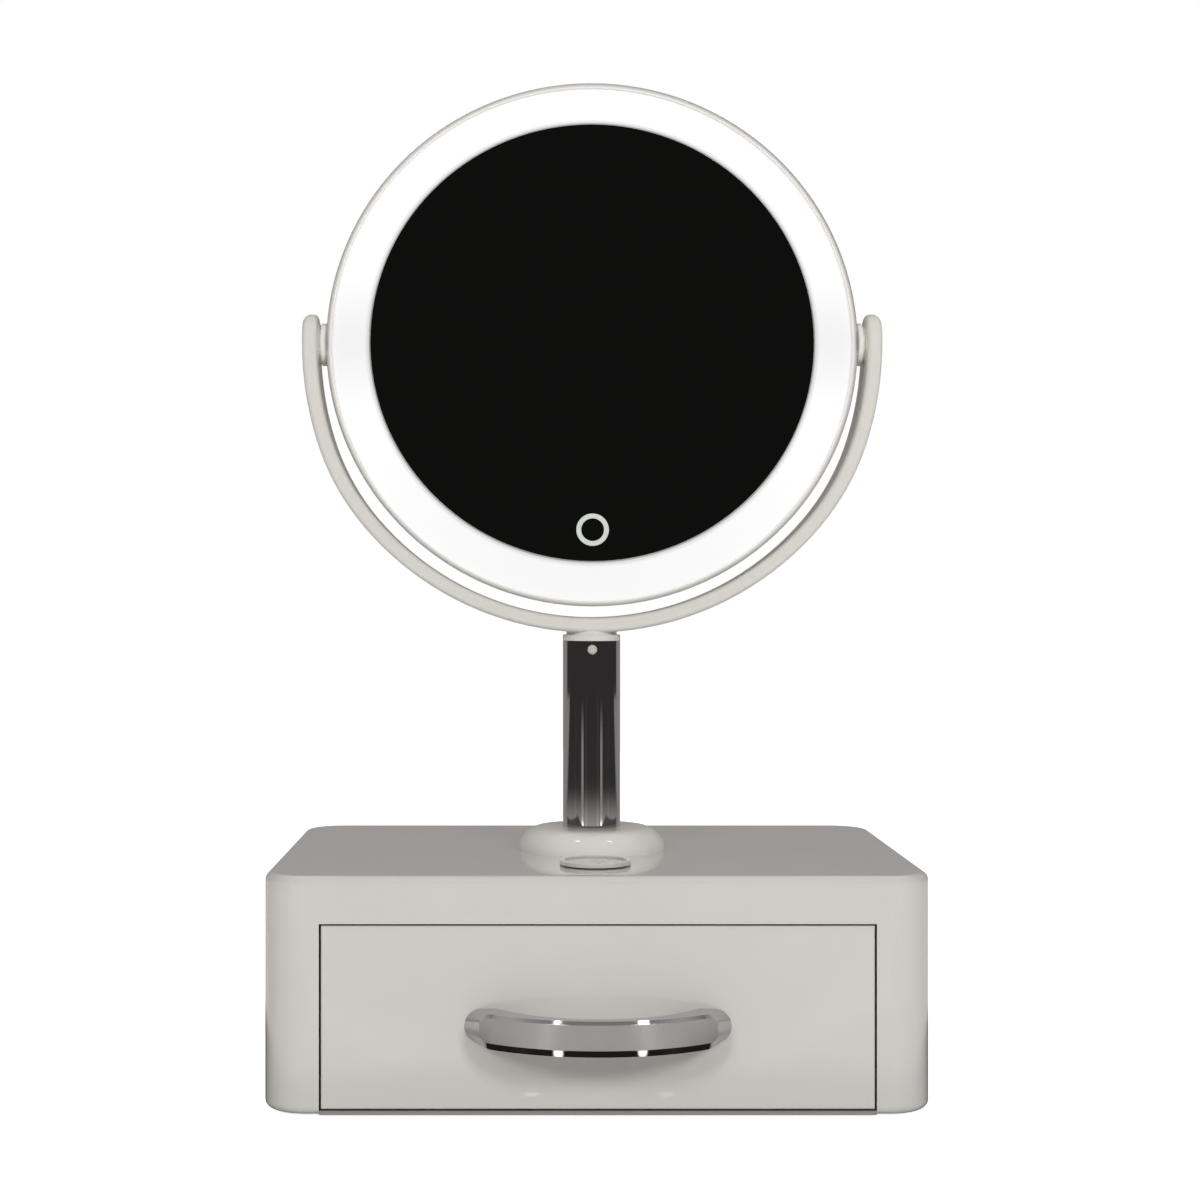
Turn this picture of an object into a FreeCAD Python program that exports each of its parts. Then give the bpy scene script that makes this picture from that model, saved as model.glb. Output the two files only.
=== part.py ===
import FreeCAD
import Part
import math
import os

import Sketcher
from FreeCAD import Placement, Rotation, Vector

# Tabletop make-up mirror on a drawer case.  Millimetres, +Z up, front towards -Y.
# The origin is the middle of the underside; the mirror's tilt axis runs along X above it.

SIZES = (
    # the case
    ("felt_thickness", 0.8, "felt sheet under the case"),
    ("felt_inset", 8.0, "felt edge inside the case edge"),
    ("case_width", 255.2, "outside, along X"),
    ("case_depth", 173.0, "outside, along Y"),
    ("case_height", 90.2, "without the felt"),
    ("case_corner", 17.0, "radius of the upright corners"),
    ("case_edge", 3.0, "radius round the top and bottom edges"),
    ("side_wall", 22.2, "thickness of the two sides"),
    ("back_wall", 15.0, "thickness of the back"),
    ("top_board", 18.0, "thickness of the top"),
    ("cut_margin", 1.0, "how far a cut reaches past an open face"),
    ("floor_board", 1.5, "hardboard floor"),
    ("floor_rebate", 7.0, "how far the floor reaches under the sides and back"),
    ("floor_tongue", 14.0, "depth of the floor's narrow front edge"),
    ("floor_recess", 0.4, "floor's front edge behind the case front"),
    ("panel_screw_head", 5.0, "head diameter of the floor screws"),
    ("panel_screw_shank", 2.6, "shank diameter of the floor screws"),
    ("panel_screw_length", 12.0, "whole length of the floor screws"),
    ("panel_screw_sink", 1.1, "depth of the countersink"),
    ("panel_screw_margin", 9.0, "end floor screws to the ends of the wide part of the floor"),
    ("panel_screw_column", 66.0, "rear floor screws off the middle"),
    # the drawer
    ("front_reveal", 0.7, "gap round the drawer front"),
    ("front_board", 15.0, "thickness of the drawer front"),
    ("front_edge", 0.9, "rounding of the drawer front's face"),
    ("drawer_board", 9.0, "thickness of the drawer sides and back"),
    ("drawer_soft_edge", 1.5, "rounding of their upper edges"),
    ("drawer_side_gap", 0.9, "drawer side to case side"),
    ("drawer_side_drop", 8.7, "top of the drawer sides below the case's top board"),
    ("drawer_lift", 2.6, "drawer sides above the case floor"),
    ("drawer_rear_gap", 7.0, "drawer back to case back"),
    ("drawer_back_top_gap", 2.2, "drawer back to the case's top board"),
    ("drawer_floor", 3.0, "drawer bottom panel"),
    ("drawer_floor_lift", 3.5, "drawer bottom above the sides' lower edge"),
    ("drawer_groove", 3.0, "how far the drawer bottom sits in its grooves"),
    ("lining_thickness", 1.2, "felt in the drawer"),
    ("lining_gap", 0.5, "felt edge to the drawer sides"),
    ("runner_height", 8.0, "height of the side runner"),
    ("runner_depth", 5.0, "how far the runner stands off the case side"),
    ("runner_level", 31.0, "runner centre above the case floor"),
    ("runner_play", 0.4, "runner to its groove, each way"),
    ("runner_screw_head", 4.4, "head diameter"),
    ("runner_screw_head_height", 2.0, "head height"),
    ("runner_screw_shank", 2.4, "shank diameter"),
    ("runner_screw_length", 13.0, "whole length"),
    ("runner_screw_margin", 19.0, "end screws to the runner's ends"),
    ("stop_length", 34.0, "stop block along X"),
    ("stop_depth", 8.0, "stop block along Y"),
    ("stop_height", 4.6, "stop block under the top board"),
    ("stop_chamfer", 0.8, "bevel of the stop's lower edges"),
    ("stop_gap", 5.0, "stop block behind the drawer front"),
    # the handle
    ("handle_length", 101.0, "base, end to end"),
    ("handle_height", 13.2, "along Z"),
    ("handle_end_reach", 3.3, "bowed face off the drawer front at the very ends"),
    ("handle_flare", 13.0, "how much shorter each end would be at full reach"),
    ("handle_reach", 25.0, "middle of the face off the drawer front"),
    ("handle_strap", 5.5, "thickness at the middle"),
    ("handle_foot", 12.5, "length of each foot on the drawer front"),
    ("handle_bevel", 2.2, "bevel round the face"),
    ("handle_level", 31.5, "handle centre above the drawer front's lower edge"),
    ("handle_screw_shank", 4.0, "shank diameter"),
    ("handle_screw_head", 7.6, "head diameter"),
    ("handle_screw_head_height", 2.4, "head height"),
    ("handle_screw_bite", 5.0, "thread inside the handle"),
    # the post
    ("tube_diameter", 24.0, "chromed tube, outside"),
    ("tube_wall", 1.25, "chromed tube"),
    ("tube_seat", 3.0, "how deep the tube stands in the top board"),
    ("collar_base_radius", 30.5, "at the top board"),
    ("collar_flare", 1.3, "foot of the collar wider than where the rounding starts"),
    ("collar_waist", 3.5, "height of the straight flare"),
    ("collar_shoulder", 4.7, "width of the rounding"),
    ("collar_height", 9.0, "above the top board"),
    ("collar_round", 7.5, "radius of the rounded shoulder"),
    ("plug_length", 26.0, "threaded plug in the tube's foot"),
    ("bolt_shank", 8.0, "post bolt"),
    ("bolt_bite", 18.0, "thread inside the plug"),
    ("bolt_head_width", 13.0, "across flats"),
    ("bolt_head_height", 5.3, "hexagon head"),
    ("bolt_hole_play", 0.4, "bolt to its hole in the top board, all round"),
    ("washer_diameter", 20.0, "washer under the post bolt"),
    ("washer_thickness", 1.6, "washer under the post bolt"),
    ("bolt_pocket_diameter", 25.0, "recess for the bolt head"),
    ("bolt_pocket_depth", 8.4, "recess for the bolt head"),
    ("badge_diameter", 28.0, "plain round plate on the top"),
    ("badge_thickness", 2.0, "rim of the plate"),
    ("badge_rim", 1.6, "width of the raised rim"),
    ("badge_edge", 0.6, "rounding of the plate's upper edge"),
    ("badge_dish", 0.6, "how deep the middle lies"),
    ("badge_gap", 8.4, "plate to the collar"),
    # the fork that carries the mirror
    ("post_rise", 87.0, "tube above the case"),
    ("head_gap", 3.6, "mirror's rim to the inside of the fork"),
    ("yoke_band", 6.2, "thickness of the fork"),
    ("yoke_depth", 22.0, "fork along Y"),
    ("yoke_tip", 12.6, "fork arms above the tilt axis"),
    ("tip_drop", 4.6, "height of the rounding at each arm's outer corner"),
    ("tip_narrow", 2.0, "width of the rounding at each arm's outer corner"),
    ("yoke_edge", 2.0, "rounding of the fork's edges"),
    ("flange_height", 3.4, "fork's underside above the tube"),
    ("flange_lip", 2.4, "height of the stem's shoulder"),
    ("neck_step", 1.5, "neck over the shoulder narrower than the tube, all round"),
    ("stem_length", 43.0, "stem inside the tube"),
    ("stem_play", 0.1, "stem to tube, all round"),
    ("stem_bore", 16.0, "hollow of the stem"),
    ("stem_roof", 2.2, "hollow's end below the fork's inner side"),
    ("pivot_boss_diameter", 17.7, "round bosses between the arms and the mirror"),
    ("arm_boss_height", 0.5, "boss on the arm"),
    ("friction_washer", 1.0, "thickness"),
    ("friction_washer_diameter", 16.0, "outside"),
    ("pivot_screw_shank", 4.0, "diameter"),
    ("pivot_play", 0.05, "screw to the hole in the arm, all round"),
    ("pivot_screw_head", 7.4, "diameter"),
    ("pivot_screw_head_height", 1.9, "height"),
    ("pivot_slot_width", 1.0, "slot for the screwdriver"),
    ("pivot_slot_depth", 0.9, "slot for the screwdriver"),
    ("pivot_pocket_diameter", 9.0, "recess in the arm"),
    ("pivot_head_gap", 0.2, "screw head to its cover disc"),
    ("pivot_cap_thickness", 0.9, "cover disc over the screw"),
    ("insert_diameter", 7.0, "brass insert in the mirror's boss"),
    ("insert_length", 3.4, "brass insert in the mirror's boss"),
    # the lock button
    ("button_drop", 3.6, "button centre below the tube's top"),
    ("button_diameter", 4.1, "white button"),
    ("button_proud", 1.1, "button off the tube"),
    ("button_dome", 1.3, "rounding of the button's tip"),
    ("button_play", 0.3, "button to its holes, all round"),
    ("button_flange", 6.2, "flange diameter"),
    ("button_flange_depth", 1.0, "flange thickness"),
    ("button_flange_gap", 0.7, "flange behind the stem's wall"),
    ("spring_leaf", 0.5, "leaf thickness"),
    ("spring_width", 5.0, "leaf width"),
    ("spring_length", 24.0, "leaf length"),
    # the mirror head, with Y measured from the tilt axis
    ("rest_tilt", 5.5, "degrees that the mirror leans back"),
    ("rim_wall", 2.1, "thickness of the rim"),
    ("rim_taper", 1.5, "how much smaller the rim's radius is at the back"),
    ("boss_root", 0.3, "bosses' roots to the rim's inner side"),
    ("rim_setback", 1.4, "rim's front edge behind the glass face"),
    ("boss_margin", 0.35, "rim behind the pivot bosses"),
    ("rim_edge", 0.7, "rounding of the front edge"),
    ("rim_web", 8.3, "width of the web inside the rim"),
    ("web_half", 1.0, "half the web's thickness"),
    ("web_setback", 3.5, "middle of the web behind the axis"),
    ("glass_front", 8.6, "glass face ahead of the axis"),
    ("glass_thickness", 3.0, "mirror glass"),
    ("glass_radius", 92.4, "mirror glass"),
    ("glass_bevel", 0.4, "bevel of the glass edge"),
    ("light_width", 15.6, "light ring round the glass"),
    ("diffuser_gap", 0.2, "diffuser to glass and rim"),
    ("diffuser_wall", 1.7, "thickness of the diffuser"),
    ("diffuser_slope", 3.0, "how far the diffuser falls back"),
    ("carrier_wall", 2.2, "plate behind the glass"),
    ("carrier_flange", 2.0, "thickness of the carrier's flange"),
    ("board_thickness", 1.6, "circuit boards"),
    ("led_board_gap", 1.0, "lamp board to the diffuser's walls"),
    ("led_width", 3.5, "lamp, across the ring"),
    ("led_length", 2.8, "lamp, along the ring"),
    ("led_height", 0.8, "lamp"),
    ("led_count", 48, "lamps round the ring"),
    ("touch_inset", 13.4, "touch ring's centre inside the glass edge"),
    ("touch_outer", 13.4, "touch ring, outside"),
    ("touch_inner", 9.4, "touch ring, inside"),
    ("touch_depth", 0.4, "how deep the ring is let into the glass"),
    ("sensor_diameter", 16.0, "touch sensor behind the glass"),
    ("sensor_gap", 1.0, "sensor to its hole in the carrier, all round"),
    ("sensor_thickness", 1.0, "touch sensor"),
    ("control_width", 50.0, "control board along X"),
    ("control_height", 28.0, "control board along Z"),
    ("control_raise", 42.0, "control board above the axis"),
    ("chip_half", 3.6, "half the side of a chip on the control board"),
    ("cover_wall", 2.0, "rear cover"),
    ("cover_dish", 6.3, "how far the cover bulges behind the rim"),
    ("cover_round", 42.0, "width of the rounding round the cover's flat middle"),
    ("cover_lip", 2.0, "thickness of the lip inside the rim"),
    ("cover_lip_gap", 0.1, "lip to rim"),
    ("cover_screw_inset", 4.6, "screws inside the rim wall"),
    ("cover_screw_post", 6.0, "post diameter"),
    ("cover_screw_shank", 2.5, "shank diameter"),
    ("cover_screw_head", 4.8, "head diameter"),
    ("cover_screw_head_height", 1.6, "head height"),
    ("cover_screw_sink", 3.4, "head's floor behind the web"),
    ("cover_screw_bite", 1.5, "thread inside the web"),
    ("cover_screw_count", 6, "screws round the cover"),
    # the battery bay in the rear cover
    ("bay_margin", 0.8, "bay higher than its cells"),
    ("bay_drop", 16.0, "bay centre below the axis"),
    ("cell_door_gap", 0.3, "cells to the door"),
    ("bay_wall", 1.6, "walls of the bay"),
    ("door_ledge", 5.0, "ledge round the bay"),
    ("door_thickness", 1.8, "battery door"),
    ("door_gap", 0.3, "door to its recess"),
    ("door_corner", 4.0, "corner radius of the door"),
    ("door_ridge", 0.6, "height of the grip ridges"),
    ("door_ridge_width", 1.4, "grip ridge"),
    ("door_ridge_length", 22.0, "grip ridge"),
    ("door_ridge_pitch", 3.2, "grip ridges"),
    ("door_ridge_count", 5, "grip ridges"),
    ("notch_width", 18.0, "finger notch at the door's upper edge"),
    ("notch_height", 6.0, "finger notch"),
    ("cell_diameter", 14.2, "AA cell"),
    ("cell_length", 49.0, "AA cell without its cap"),
    ("cell_cap_diameter", 5.5, "cap of the cell"),
    ("cell_cap", 1.0, "cap of the cell"),
    ("cell_gap", 0.6, "between the cells"),
    ("cell_count", 4, "AA cells"),
    ("contact_side", 10.5, "contact plate"),
    ("contact_plate", 0.5, "contact plate"),
    ("contact_depth", 1.0, "bay wall to the cell's end"),
    ("contact_boss_diameter", 7.0, "raised spring of the contact"),
)


class Size:
    """A length together with the sheet expression that it comes from."""

    def __init__(self, value, text):
        self.value = float(value)
        self.text = text

    def __add__(self, other):
        other = as_size(other)
        return Size(self.value + other.value, f"({self.text} + {other.text})")

    def __sub__(self, other):
        other = as_size(other)
        return Size(self.value - other.value, f"({self.text} - {other.text})")

    def __mul__(self, other):
        other = as_size(other)
        return Size(self.value * other.value, f"({self.text} * {other.text})")

    def __truediv__(self, other):
        other = as_size(other)
        return Size(self.value / other.value, f"({self.text} / {other.text})")

    def __radd__(self, other):
        return as_size(other) + self

    def __rsub__(self, other):
        return as_size(other) - self

    def __rmul__(self, other):
        return as_size(other) * self

    def __neg__(self):
        return Size(-self.value, f"(0 - {self.text})")


def as_size(number):
    """Let a plain number stand where a size is wanted."""
    if isinstance(number, Size):
        return number
    return Size(number, f"({float(number)!r})")


class Sheet:
    """The spreadsheet's aliases as attributes, each of them a Size."""

    def __init__(self, document, rows):
        cells = document.addObject("Spreadsheet::Sheet", "Sizes")
        for row, (alias, value, meaning) in enumerate(rows, start=1):
            cells.set(f"A{row}", meaning)
            cells.set(f"B{row}", str(value))
            cells.setAlias(f"B{row}", alias)
            setattr(self, alias, Size(value, f"Sizes.{alias}"))


# the fork's outline: radius of its upper arcs over its radius, and where its arcs meet, in degrees down
FORK_BOW = 1.147
FORK_TURNS = (17.0, 40.14)

document = FreeCAD.newDocument("VanityMirror")
size = Sheet(document, SIZES)
document.recompute()
sub_parts = []


# ---------------------------------------------------------------- levels and edges used by several pieces

case_bottom = size.felt_thickness
case_top = case_bottom + size.case_height
case_front = -size.case_depth / 2
case_back = size.case_depth / 2
ceiling = case_top - size.top_board
floor_top = case_bottom + size.floor_board
opening_half = size.case_width / 2 - size.side_wall
inner_back = case_back - size.back_wall

front_half = opening_half - size.front_reveal
front_bottom = floor_top + size.front_reveal
front_top = ceiling - size.front_reveal
front_rear = case_front + size.front_board
drawer_half = opening_half - size.drawer_side_gap
drawer_inner_half = drawer_half - size.drawer_board
drawer_rear = inner_back - size.drawer_rear_gap
drawer_bottom = floor_top + size.drawer_lift
drawer_side_top = ceiling - size.drawer_side_drop
drawer_floor_bottom = drawer_bottom + size.drawer_floor_lift
drawer_floor_top = drawer_floor_bottom + size.drawer_floor
runner_centre = floor_top + size.runner_level
handle_centre = front_bottom + size.handle_level
handle_screw_x = size.handle_length / 2 - size.handle_foot / 2

badge_y = -size.collar_base_radius - size.badge_gap - size.badge_diameter / 2
tube_radius = size.tube_diameter / 2
tube_inner_radius = tube_radius - size.tube_wall
tube_bottom = case_top - size.tube_seat
tube_top = case_top + size.post_rise
button_level = tube_top - size.button_drop
stem_wall_front = size.stem_bore / 2

rim_inner_radius = size.glass_radius + size.diffuser_gap * 2 + size.light_width
head_radius = rim_inner_radius + size.rim_wall
yoke_inner_radius = head_radius + size.head_gap
yoke_radius = yoke_inner_radius + size.yoke_band
pivot_height = tube_top + size.flange_height + yoke_radius
arm_boss_face = yoke_inner_radius - size.arm_boss_height
head_boss_face = arm_boss_face - size.friction_washer
pivot_pocket_depth = size.pivot_screw_head_height + size.pivot_head_gap + size.pivot_cap_thickness
pivot_pocket_floor = yoke_radius - pivot_pocket_depth

rim_front = -size.glass_front + size.rim_setback
rear_radius = head_radius - size.rim_taper
rear_inner_radius = rim_inner_radius - size.rim_taper
web_front = size.web_setback - size.web_half
web_rear = size.web_setback + size.web_half
rim_rear = size.pivot_boss_diameter / 2 + size.boss_margin
web_inner_radius = rim_inner_radius - size.rim_web
glass_rear = -size.glass_front + size.glass_thickness
diffuser_inner_radius = size.glass_radius + size.diffuser_gap
diffuser_outer_radius = rim_inner_radius - size.diffuser_gap
carrier_rear = glass_rear + size.carrier_wall
touch_z = -size.glass_radius + size.touch_inset
flange_rear = web_front
flange_front = flange_rear - size.carrier_flange
cover_rear = rim_rear + size.cover_dish
door_inner_face = cover_rear - size.door_thickness
bay_bottom = door_inner_face - size.cell_door_gap - size.cell_diameter
bay_width = size.cell_length + size.cell_cap + size.contact_depth * 2
cell_pitch = size.cell_diameter + size.cell_gap
bay_height = cell_pitch * size.cell_count + size.bay_margin
door_half_width = bay_width / 2 + size.door_ledge
door_half_height = bay_height / 2 + size.door_ledge


# ---------------------------------------------------------------- drawing helpers

def bind(thing, name, value):
    """Set a property and tie it to the sheet."""
    value = as_size(value)
    setattr(thing, name, value.value)
    thing.setExpression(name, value.text)


def body(label):
    """Start a sub-part that is built from sketches and features."""
    made = document.addObject("PartDesign::Body", label)
    made.Label = label
    sub_parts.append(made)
    return made


def origin_plane(owner, role):
    """One of the body's own origin planes or axes."""
    return next(item for item in owner.Origin.OriginFeatures if item.Role == role)


def sketch(owner, plane, name, offset=0):
    """An empty sketch on an origin plane, moved along the plane's normal by the offset."""
    made = owner.newObject("Sketcher::SketchObject", name)
    made.AttachmentSupport = [(origin_plane(owner, plane), "")]
    made.MapMode = "FlatFace"
    offset = as_size(offset)
    made.AttachmentOffset = Placement(Vector(0, 0, offset.value), Rotation())
    made.setExpression(".AttachmentOffset.Base.z", offset.text)
    return made


def pin(drawing, edge, end, x, y):
    """Hold one point of an edge at a place that the sheet gives."""
    for kind, value in (("DistanceX", as_size(x)), ("DistanceY", as_size(y))):
        index = drawing.addConstraint(Sketcher.Constraint(kind, -1, 1, edge, end, value.value))
        drawing.setExpression(f"Constraints[{index}]", value.text)


def arc_between(start, end, radius, left):
    """The arc of less than half a turn from start to end, with its centre on the left or right."""
    chord = end - start
    half = chord.Length / 2
    rise = math.sqrt(max(radius * radius - half * half, 0))
    side = Vector(-chord.y, chord.x, 0).normalize()
    centre = (start + end) / 2 + side * (rise if left else -rise)
    first, last = (start, end) if left else (end, start)
    from_angle = math.atan2(first.y - centre.y, first.x - centre.x)
    to_angle = math.atan2(last.y - centre.y, last.x - centre.x)
    if to_angle < from_angle:
        to_angle += 2 * math.pi
    return Part.ArcOfCircle(Part.Circle(centre, Vector(0, 0, 1), radius), from_angle, to_angle)


def outline(drawing, points, arcs=None):
    """Draw a closed outline. arcs gives, for the side that leaves a point, its radius and centre side."""
    arcs = arcs or {}
    corners = [(as_size(x), as_size(y)) for x, y in points]
    spots = [Vector(x.value, y.value, 0) for x, y in corners]
    ends = []
    for index, spot in enumerate(spots):
        following = spots[(index + 1) % len(spots)]
        if index in arcs:
            radius, centre_side = arcs[index]
            left = centre_side == "left"
            edge = drawing.addGeometry(arc_between(spot, following, as_size(radius).value, left), False)
            ends.append((edge, 1, 2) if left else (edge, 2, 1))
        else:
            edge = drawing.addGeometry(Part.LineSegment(spot, following), False)
            ends.append((edge, 1, 2))
    for index, (edge, start, end) in enumerate(ends):
        next_edge, next_start, _ = ends[(index + 1) % len(ends)]
        drawing.addConstraint(Sketcher.Constraint("Coincident", edge, end, next_edge, next_start))
        pin(drawing, edge, start, *corners[index])
    for index, (radius, _) in arcs.items():
        radius = as_size(radius)
        constraint = Sketcher.Constraint("Radius", ends[index][0], radius.value)
        drawing.setExpression(f"Constraints[{drawing.addConstraint(constraint)}]", radius.text)


def rectangle(drawing, left, bottom, right, top):
    """Draw an upright rectangle."""
    outline(drawing, [(left, bottom), (right, bottom), (right, top), (left, top)])


def circle(drawing, diameter, x=0, y=0):
    """Draw a circle whose centre and diameter the sheet gives."""
    diameter = as_size(diameter)
    centre = Vector(as_size(x).value, as_size(y).value, 0)
    edge = drawing.addGeometry(Part.Circle(centre, Vector(0, 0, 1), diameter.value / 2), False)
    pin(drawing, edge, 3, x, y)
    index = drawing.addConstraint(Sketcher.Constraint("Diameter", edge, diameter.value))
    drawing.setExpression(f"Constraints[{index}]", diameter.text)


def feature(owner, kind, profile, name, length=None, through=False, midplane=False, backwards=False):
    """Pad or pocket a sketch. Forwards is along the plane's normal for a pad and against it for a pocket."""
    made = owner.newObject(f"PartDesign::{kind}", name)
    made.Profile = profile
    made.Reversed = backwards
    if midplane:
        made.SideType = "Symmetric"
    if through:
        made.Type = "ThroughAll"
    else:
        bind(made, "Length", length)
    document.recompute()
    return made


def pad(owner, profile, name, length, **options):
    return feature(owner, "Pad", profile, name, length, **options)


def pocket(owner, profile, name, length=None, **options):
    """Cut a sketch out of the body, and make sure that it cut something."""
    before = owner.Shape.Volume
    made = feature(owner, "Pocket", profile, name, length, **options)
    if owner.Shape.Volume > before - 1e-6:
        raise RuntimeError(f"{name} cut nothing")
    return made


def revolve(owner, profile, name):
    """Turn a sketch once round its own upright axis."""
    made = owner.newObject("PartDesign::Revolution", name)
    made.Profile = profile
    made.ReferenceAxis = (profile, ["V_Axis"])
    made.Angle = 360
    document.recompute()
    return made


def ring_pattern(owner, original, count, name, axis="Y_Axis"):
    """Repeat a feature round an axis of the body."""
    made = owner.newObject("PartDesign::PolarPattern", name)
    made.Originals = [original]
    made.Axis = (origin_plane(owner, axis), [""])
    made.Angle = 360
    made.Occurrences = int(count.value)
    owner.Tip = made
    document.recompute()
    return made


def row_pattern(owner, original, axis, pitch, count, name):
    """Repeat a feature in a row along an axis of the body."""
    made = owner.newObject("PartDesign::LinearPattern", name)
    made.Originals = [original]
    made.Direction = (origin_plane(owner, axis), [""])
    made.Occurrences = int(count)
    bind(made, "Length", pitch * (int(count) - 1))
    owner.Tip = made
    document.recompute()
    return made


def edges_where(shape, wanted):
    """The names of the edges whose middle passes a test."""
    names = []
    for number, edge in enumerate(shape.Edges, start=1):
        middle = edge.valueAt((edge.FirstParameter + edge.LastParameter) / 2)
        if wanted(middle, edge):
            names.append(f"Edge{number}")
    if not names:
        raise RuntimeError("no edge passes the test")
    return names


def dress(owner, kind, name, base, wanted, amount):
    """Fillet or chamfer the edges of a feature that pass a test."""
    made = owner.newObject(f"PartDesign::{kind}", name)
    made.Base = (base, edges_where(base.Shape, wanted))
    bind(made, "Radius" if kind == "Fillet" else "Size", amount)
    owner.Tip = made
    document.recompute()
    return made


def near(first, second):
    """Whether two lengths are the same to a micrometre or so."""
    return abs(first - as_size(second).value) < 1e-3


def on_pivot(made, leaning=True):
    """Place a sub-part that was drawn round the tilt axis. A leaning one has the mirror's rest tilt."""
    angle = size.rest_tilt if leaning else as_size(0)
    spot = Vector(0, 0, pivot_height.value)
    made.Placement = Placement(spot, Rotation(Vector(-1, 0, 0), angle.value))
    made.setExpression(".Placement.Base.z", pivot_height.text)
    made.setExpression(".Placement.Rotation.Angle", angle.text)
    return made


# ---------------------------------------------------------------- the case

def case_outline(drawing, inset):
    """The case's plan with its rounded corners, or the same moved inwards."""
    half_x = size.case_width / 2 - inset
    half_y = size.case_depth / 2 - inset
    radius = size.case_corner - inset
    flat_x = half_x - radius
    flat_y = half_y - radius
    points = [
        (-flat_x, -half_y), (flat_x, -half_y), (half_x, -flat_y), (half_x, flat_y),
        (flat_x, half_y), (-flat_x, half_y), (-half_x, flat_y), (-half_x, -flat_y),
    ]
    outline(drawing, points, {side: (radius, "left") for side in (1, 3, 5, 7)})


def floor_outline(drawing, play):
    """The floor board's plan: a narrow front between the sides, then wider under them."""
    narrow = opening_half - play
    wide = opening_half + size.floor_rebate - play
    front = case_front + size.floor_recess
    step = case_front + size.floor_tongue + play
    rear = inner_back + size.floor_rebate - play
    outline(drawing, [
        (-narrow, front), (narrow, front), (narrow, step), (wide, step),
        (wide, rear), (-wide, rear), (-wide, step), (-narrow, step),
    ])


def cabinet_case():
    """Lacquered board case, open at the front and rebated underneath for its floor."""
    made = body("cabinet_case")
    plan = sketch(made, "XY_Plane", "CasePlan", case_bottom)
    case_outline(plan, as_size(0))
    block = pad(made, plan, "CaseBlock", size.case_height)
    levels = (case_bottom.value, case_top.value)

    def is_rim_edge(middle, edge):
        return any(near(middle.z, level) for level in levels)

    dress(made, "Fillet", "CaseEdges", block, is_rim_edge, size.case_edge)
    hollow = sketch(made, "XY_Plane", "CaseHollow", case_bottom)
    rectangle(hollow, -opening_half, case_front - size.cut_margin, opening_half, inner_back)
    pocket(made, hollow, "DrawerSpace", ceiling - case_bottom, backwards=True)
    rebate = sketch(made, "XY_Plane", "FloorRebate", case_bottom)
    floor_outline(rebate, as_size(0))
    pocket(made, rebate, "FloorSeat", size.floor_board, backwards=True)
    socket = sketch(made, "XY_Plane", "TubeSocket", case_top)
    circle(socket, size.tube_diameter)
    pocket(made, socket, "TubeSeat", size.tube_seat)
    recess = sketch(made, "XY_Plane", "BoltRecess", ceiling)
    circle(recess, size.bolt_pocket_diameter)
    pocket(made, recess, "BoltPocket", size.bolt_pocket_depth, backwards=True)
    passage = sketch(made, "XY_Plane", "BoltPassage", ceiling)
    circle(passage, size.bolt_shank + size.bolt_hole_play * 2)
    pocket(made, passage, "BoltHole", through=True, backwards=True)
    for name, x, y in floor_screw_places():
        hole = sketch(made, "XY_Plane", f"{name}Pilot", floor_top)
        circle(hole, size.panel_screw_shank, x, y)
        pocket(made, hole, f"{name}Hole", size.panel_screw_length - size.floor_board, backwards=True)
    for side in (-1, 1):
        pilots = sketch(made, "YZ_Plane", f"RunnerPilot{side + 2}", opening_half * side)
        for y in runner_screw_places():
            circle(pilots, size.runner_screw_shank, y, runner_centre)
        pocket(made, pilots, f"RunnerHoles{side + 2}", runner_screw_bite(), backwards=side > 0)
    return made


def floor_screw_places():
    """Name and place of each floor screw: three along each side and two in the back."""
    x = opening_half + size.floor_rebate / 2
    rear = inner_back + size.floor_rebate / 2
    first = case_front + size.floor_tongue + size.panel_screw_margin
    last = inner_back - size.panel_screw_margin
    places = []
    for row, y in enumerate((first, (first + last) / 2, last), start=1):
        places.append((f"FloorScrewLeft{row}", -x, y))
        places.append((f"FloorScrewRight{row}", x, y))
    for side in (-1, 1):
        places.append((f"FloorScrewRear{side + 2}", size.panel_screw_column * side, rear))
    return places


def bottom_panel():
    """Hardboard floor, let into the underside and countersunk for its screws."""
    made = body("bottom_panel")
    plan = sketch(made, "XY_Plane", "FloorPlan", case_bottom)
    floor_outline(plan, as_size(0))
    board = pad(made, plan, "FloorBoard", size.floor_board)
    for name, x, y in floor_screw_places():
        sink = sketch(made, "XY_Plane", f"{name}Sink", case_bottom)
        circle(sink, size.panel_screw_head, x, y)
        pocket(made, sink, f"{name}Recess", size.panel_screw_sink, backwards=True)
        hole = sketch(made, "XY_Plane", f"{name}Shank", case_bottom)
        circle(hole, size.panel_screw_shank, x, y)
        pocket(made, hole, f"{name}Hole", through=True, backwards=True)
    return board


def panel_screws():
    """Floor screws, driven upwards with their heads flush in the floor board."""
    made = body("panel_screws")
    for name, x, y in floor_screw_places():
        head = sketch(made, "XY_Plane", f"{name}Head", case_bottom)
        circle(head, size.panel_screw_head, x, y)
        pad(made, head, f"{name}HeadPad", size.panel_screw_sink)
        shank = sketch(made, "XY_Plane", f"{name}Shank", case_bottom)
        circle(shank, size.panel_screw_shank, x, y)
        pad(made, shank, f"{name}ShankPad", size.panel_screw_length)
    return made


def base_felt():
    """Felt sheet glued under the case. Its lower face is what the mirror stands on."""
    made = body("base_felt")
    plan = sketch(made, "XY_Plane", "FeltPlan")
    case_outline(plan, size.felt_inset)
    return pad(made, plan, "Felt", size.felt_thickness)


# ---------------------------------------------------------------- runners and stop

def runner_screw_places():
    """Places along Y of the runner screws."""
    first = front_rear + size.runner_screw_margin
    last = inner_back - size.runner_screw_margin
    return [first, (first + last) / 2, last]


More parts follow.
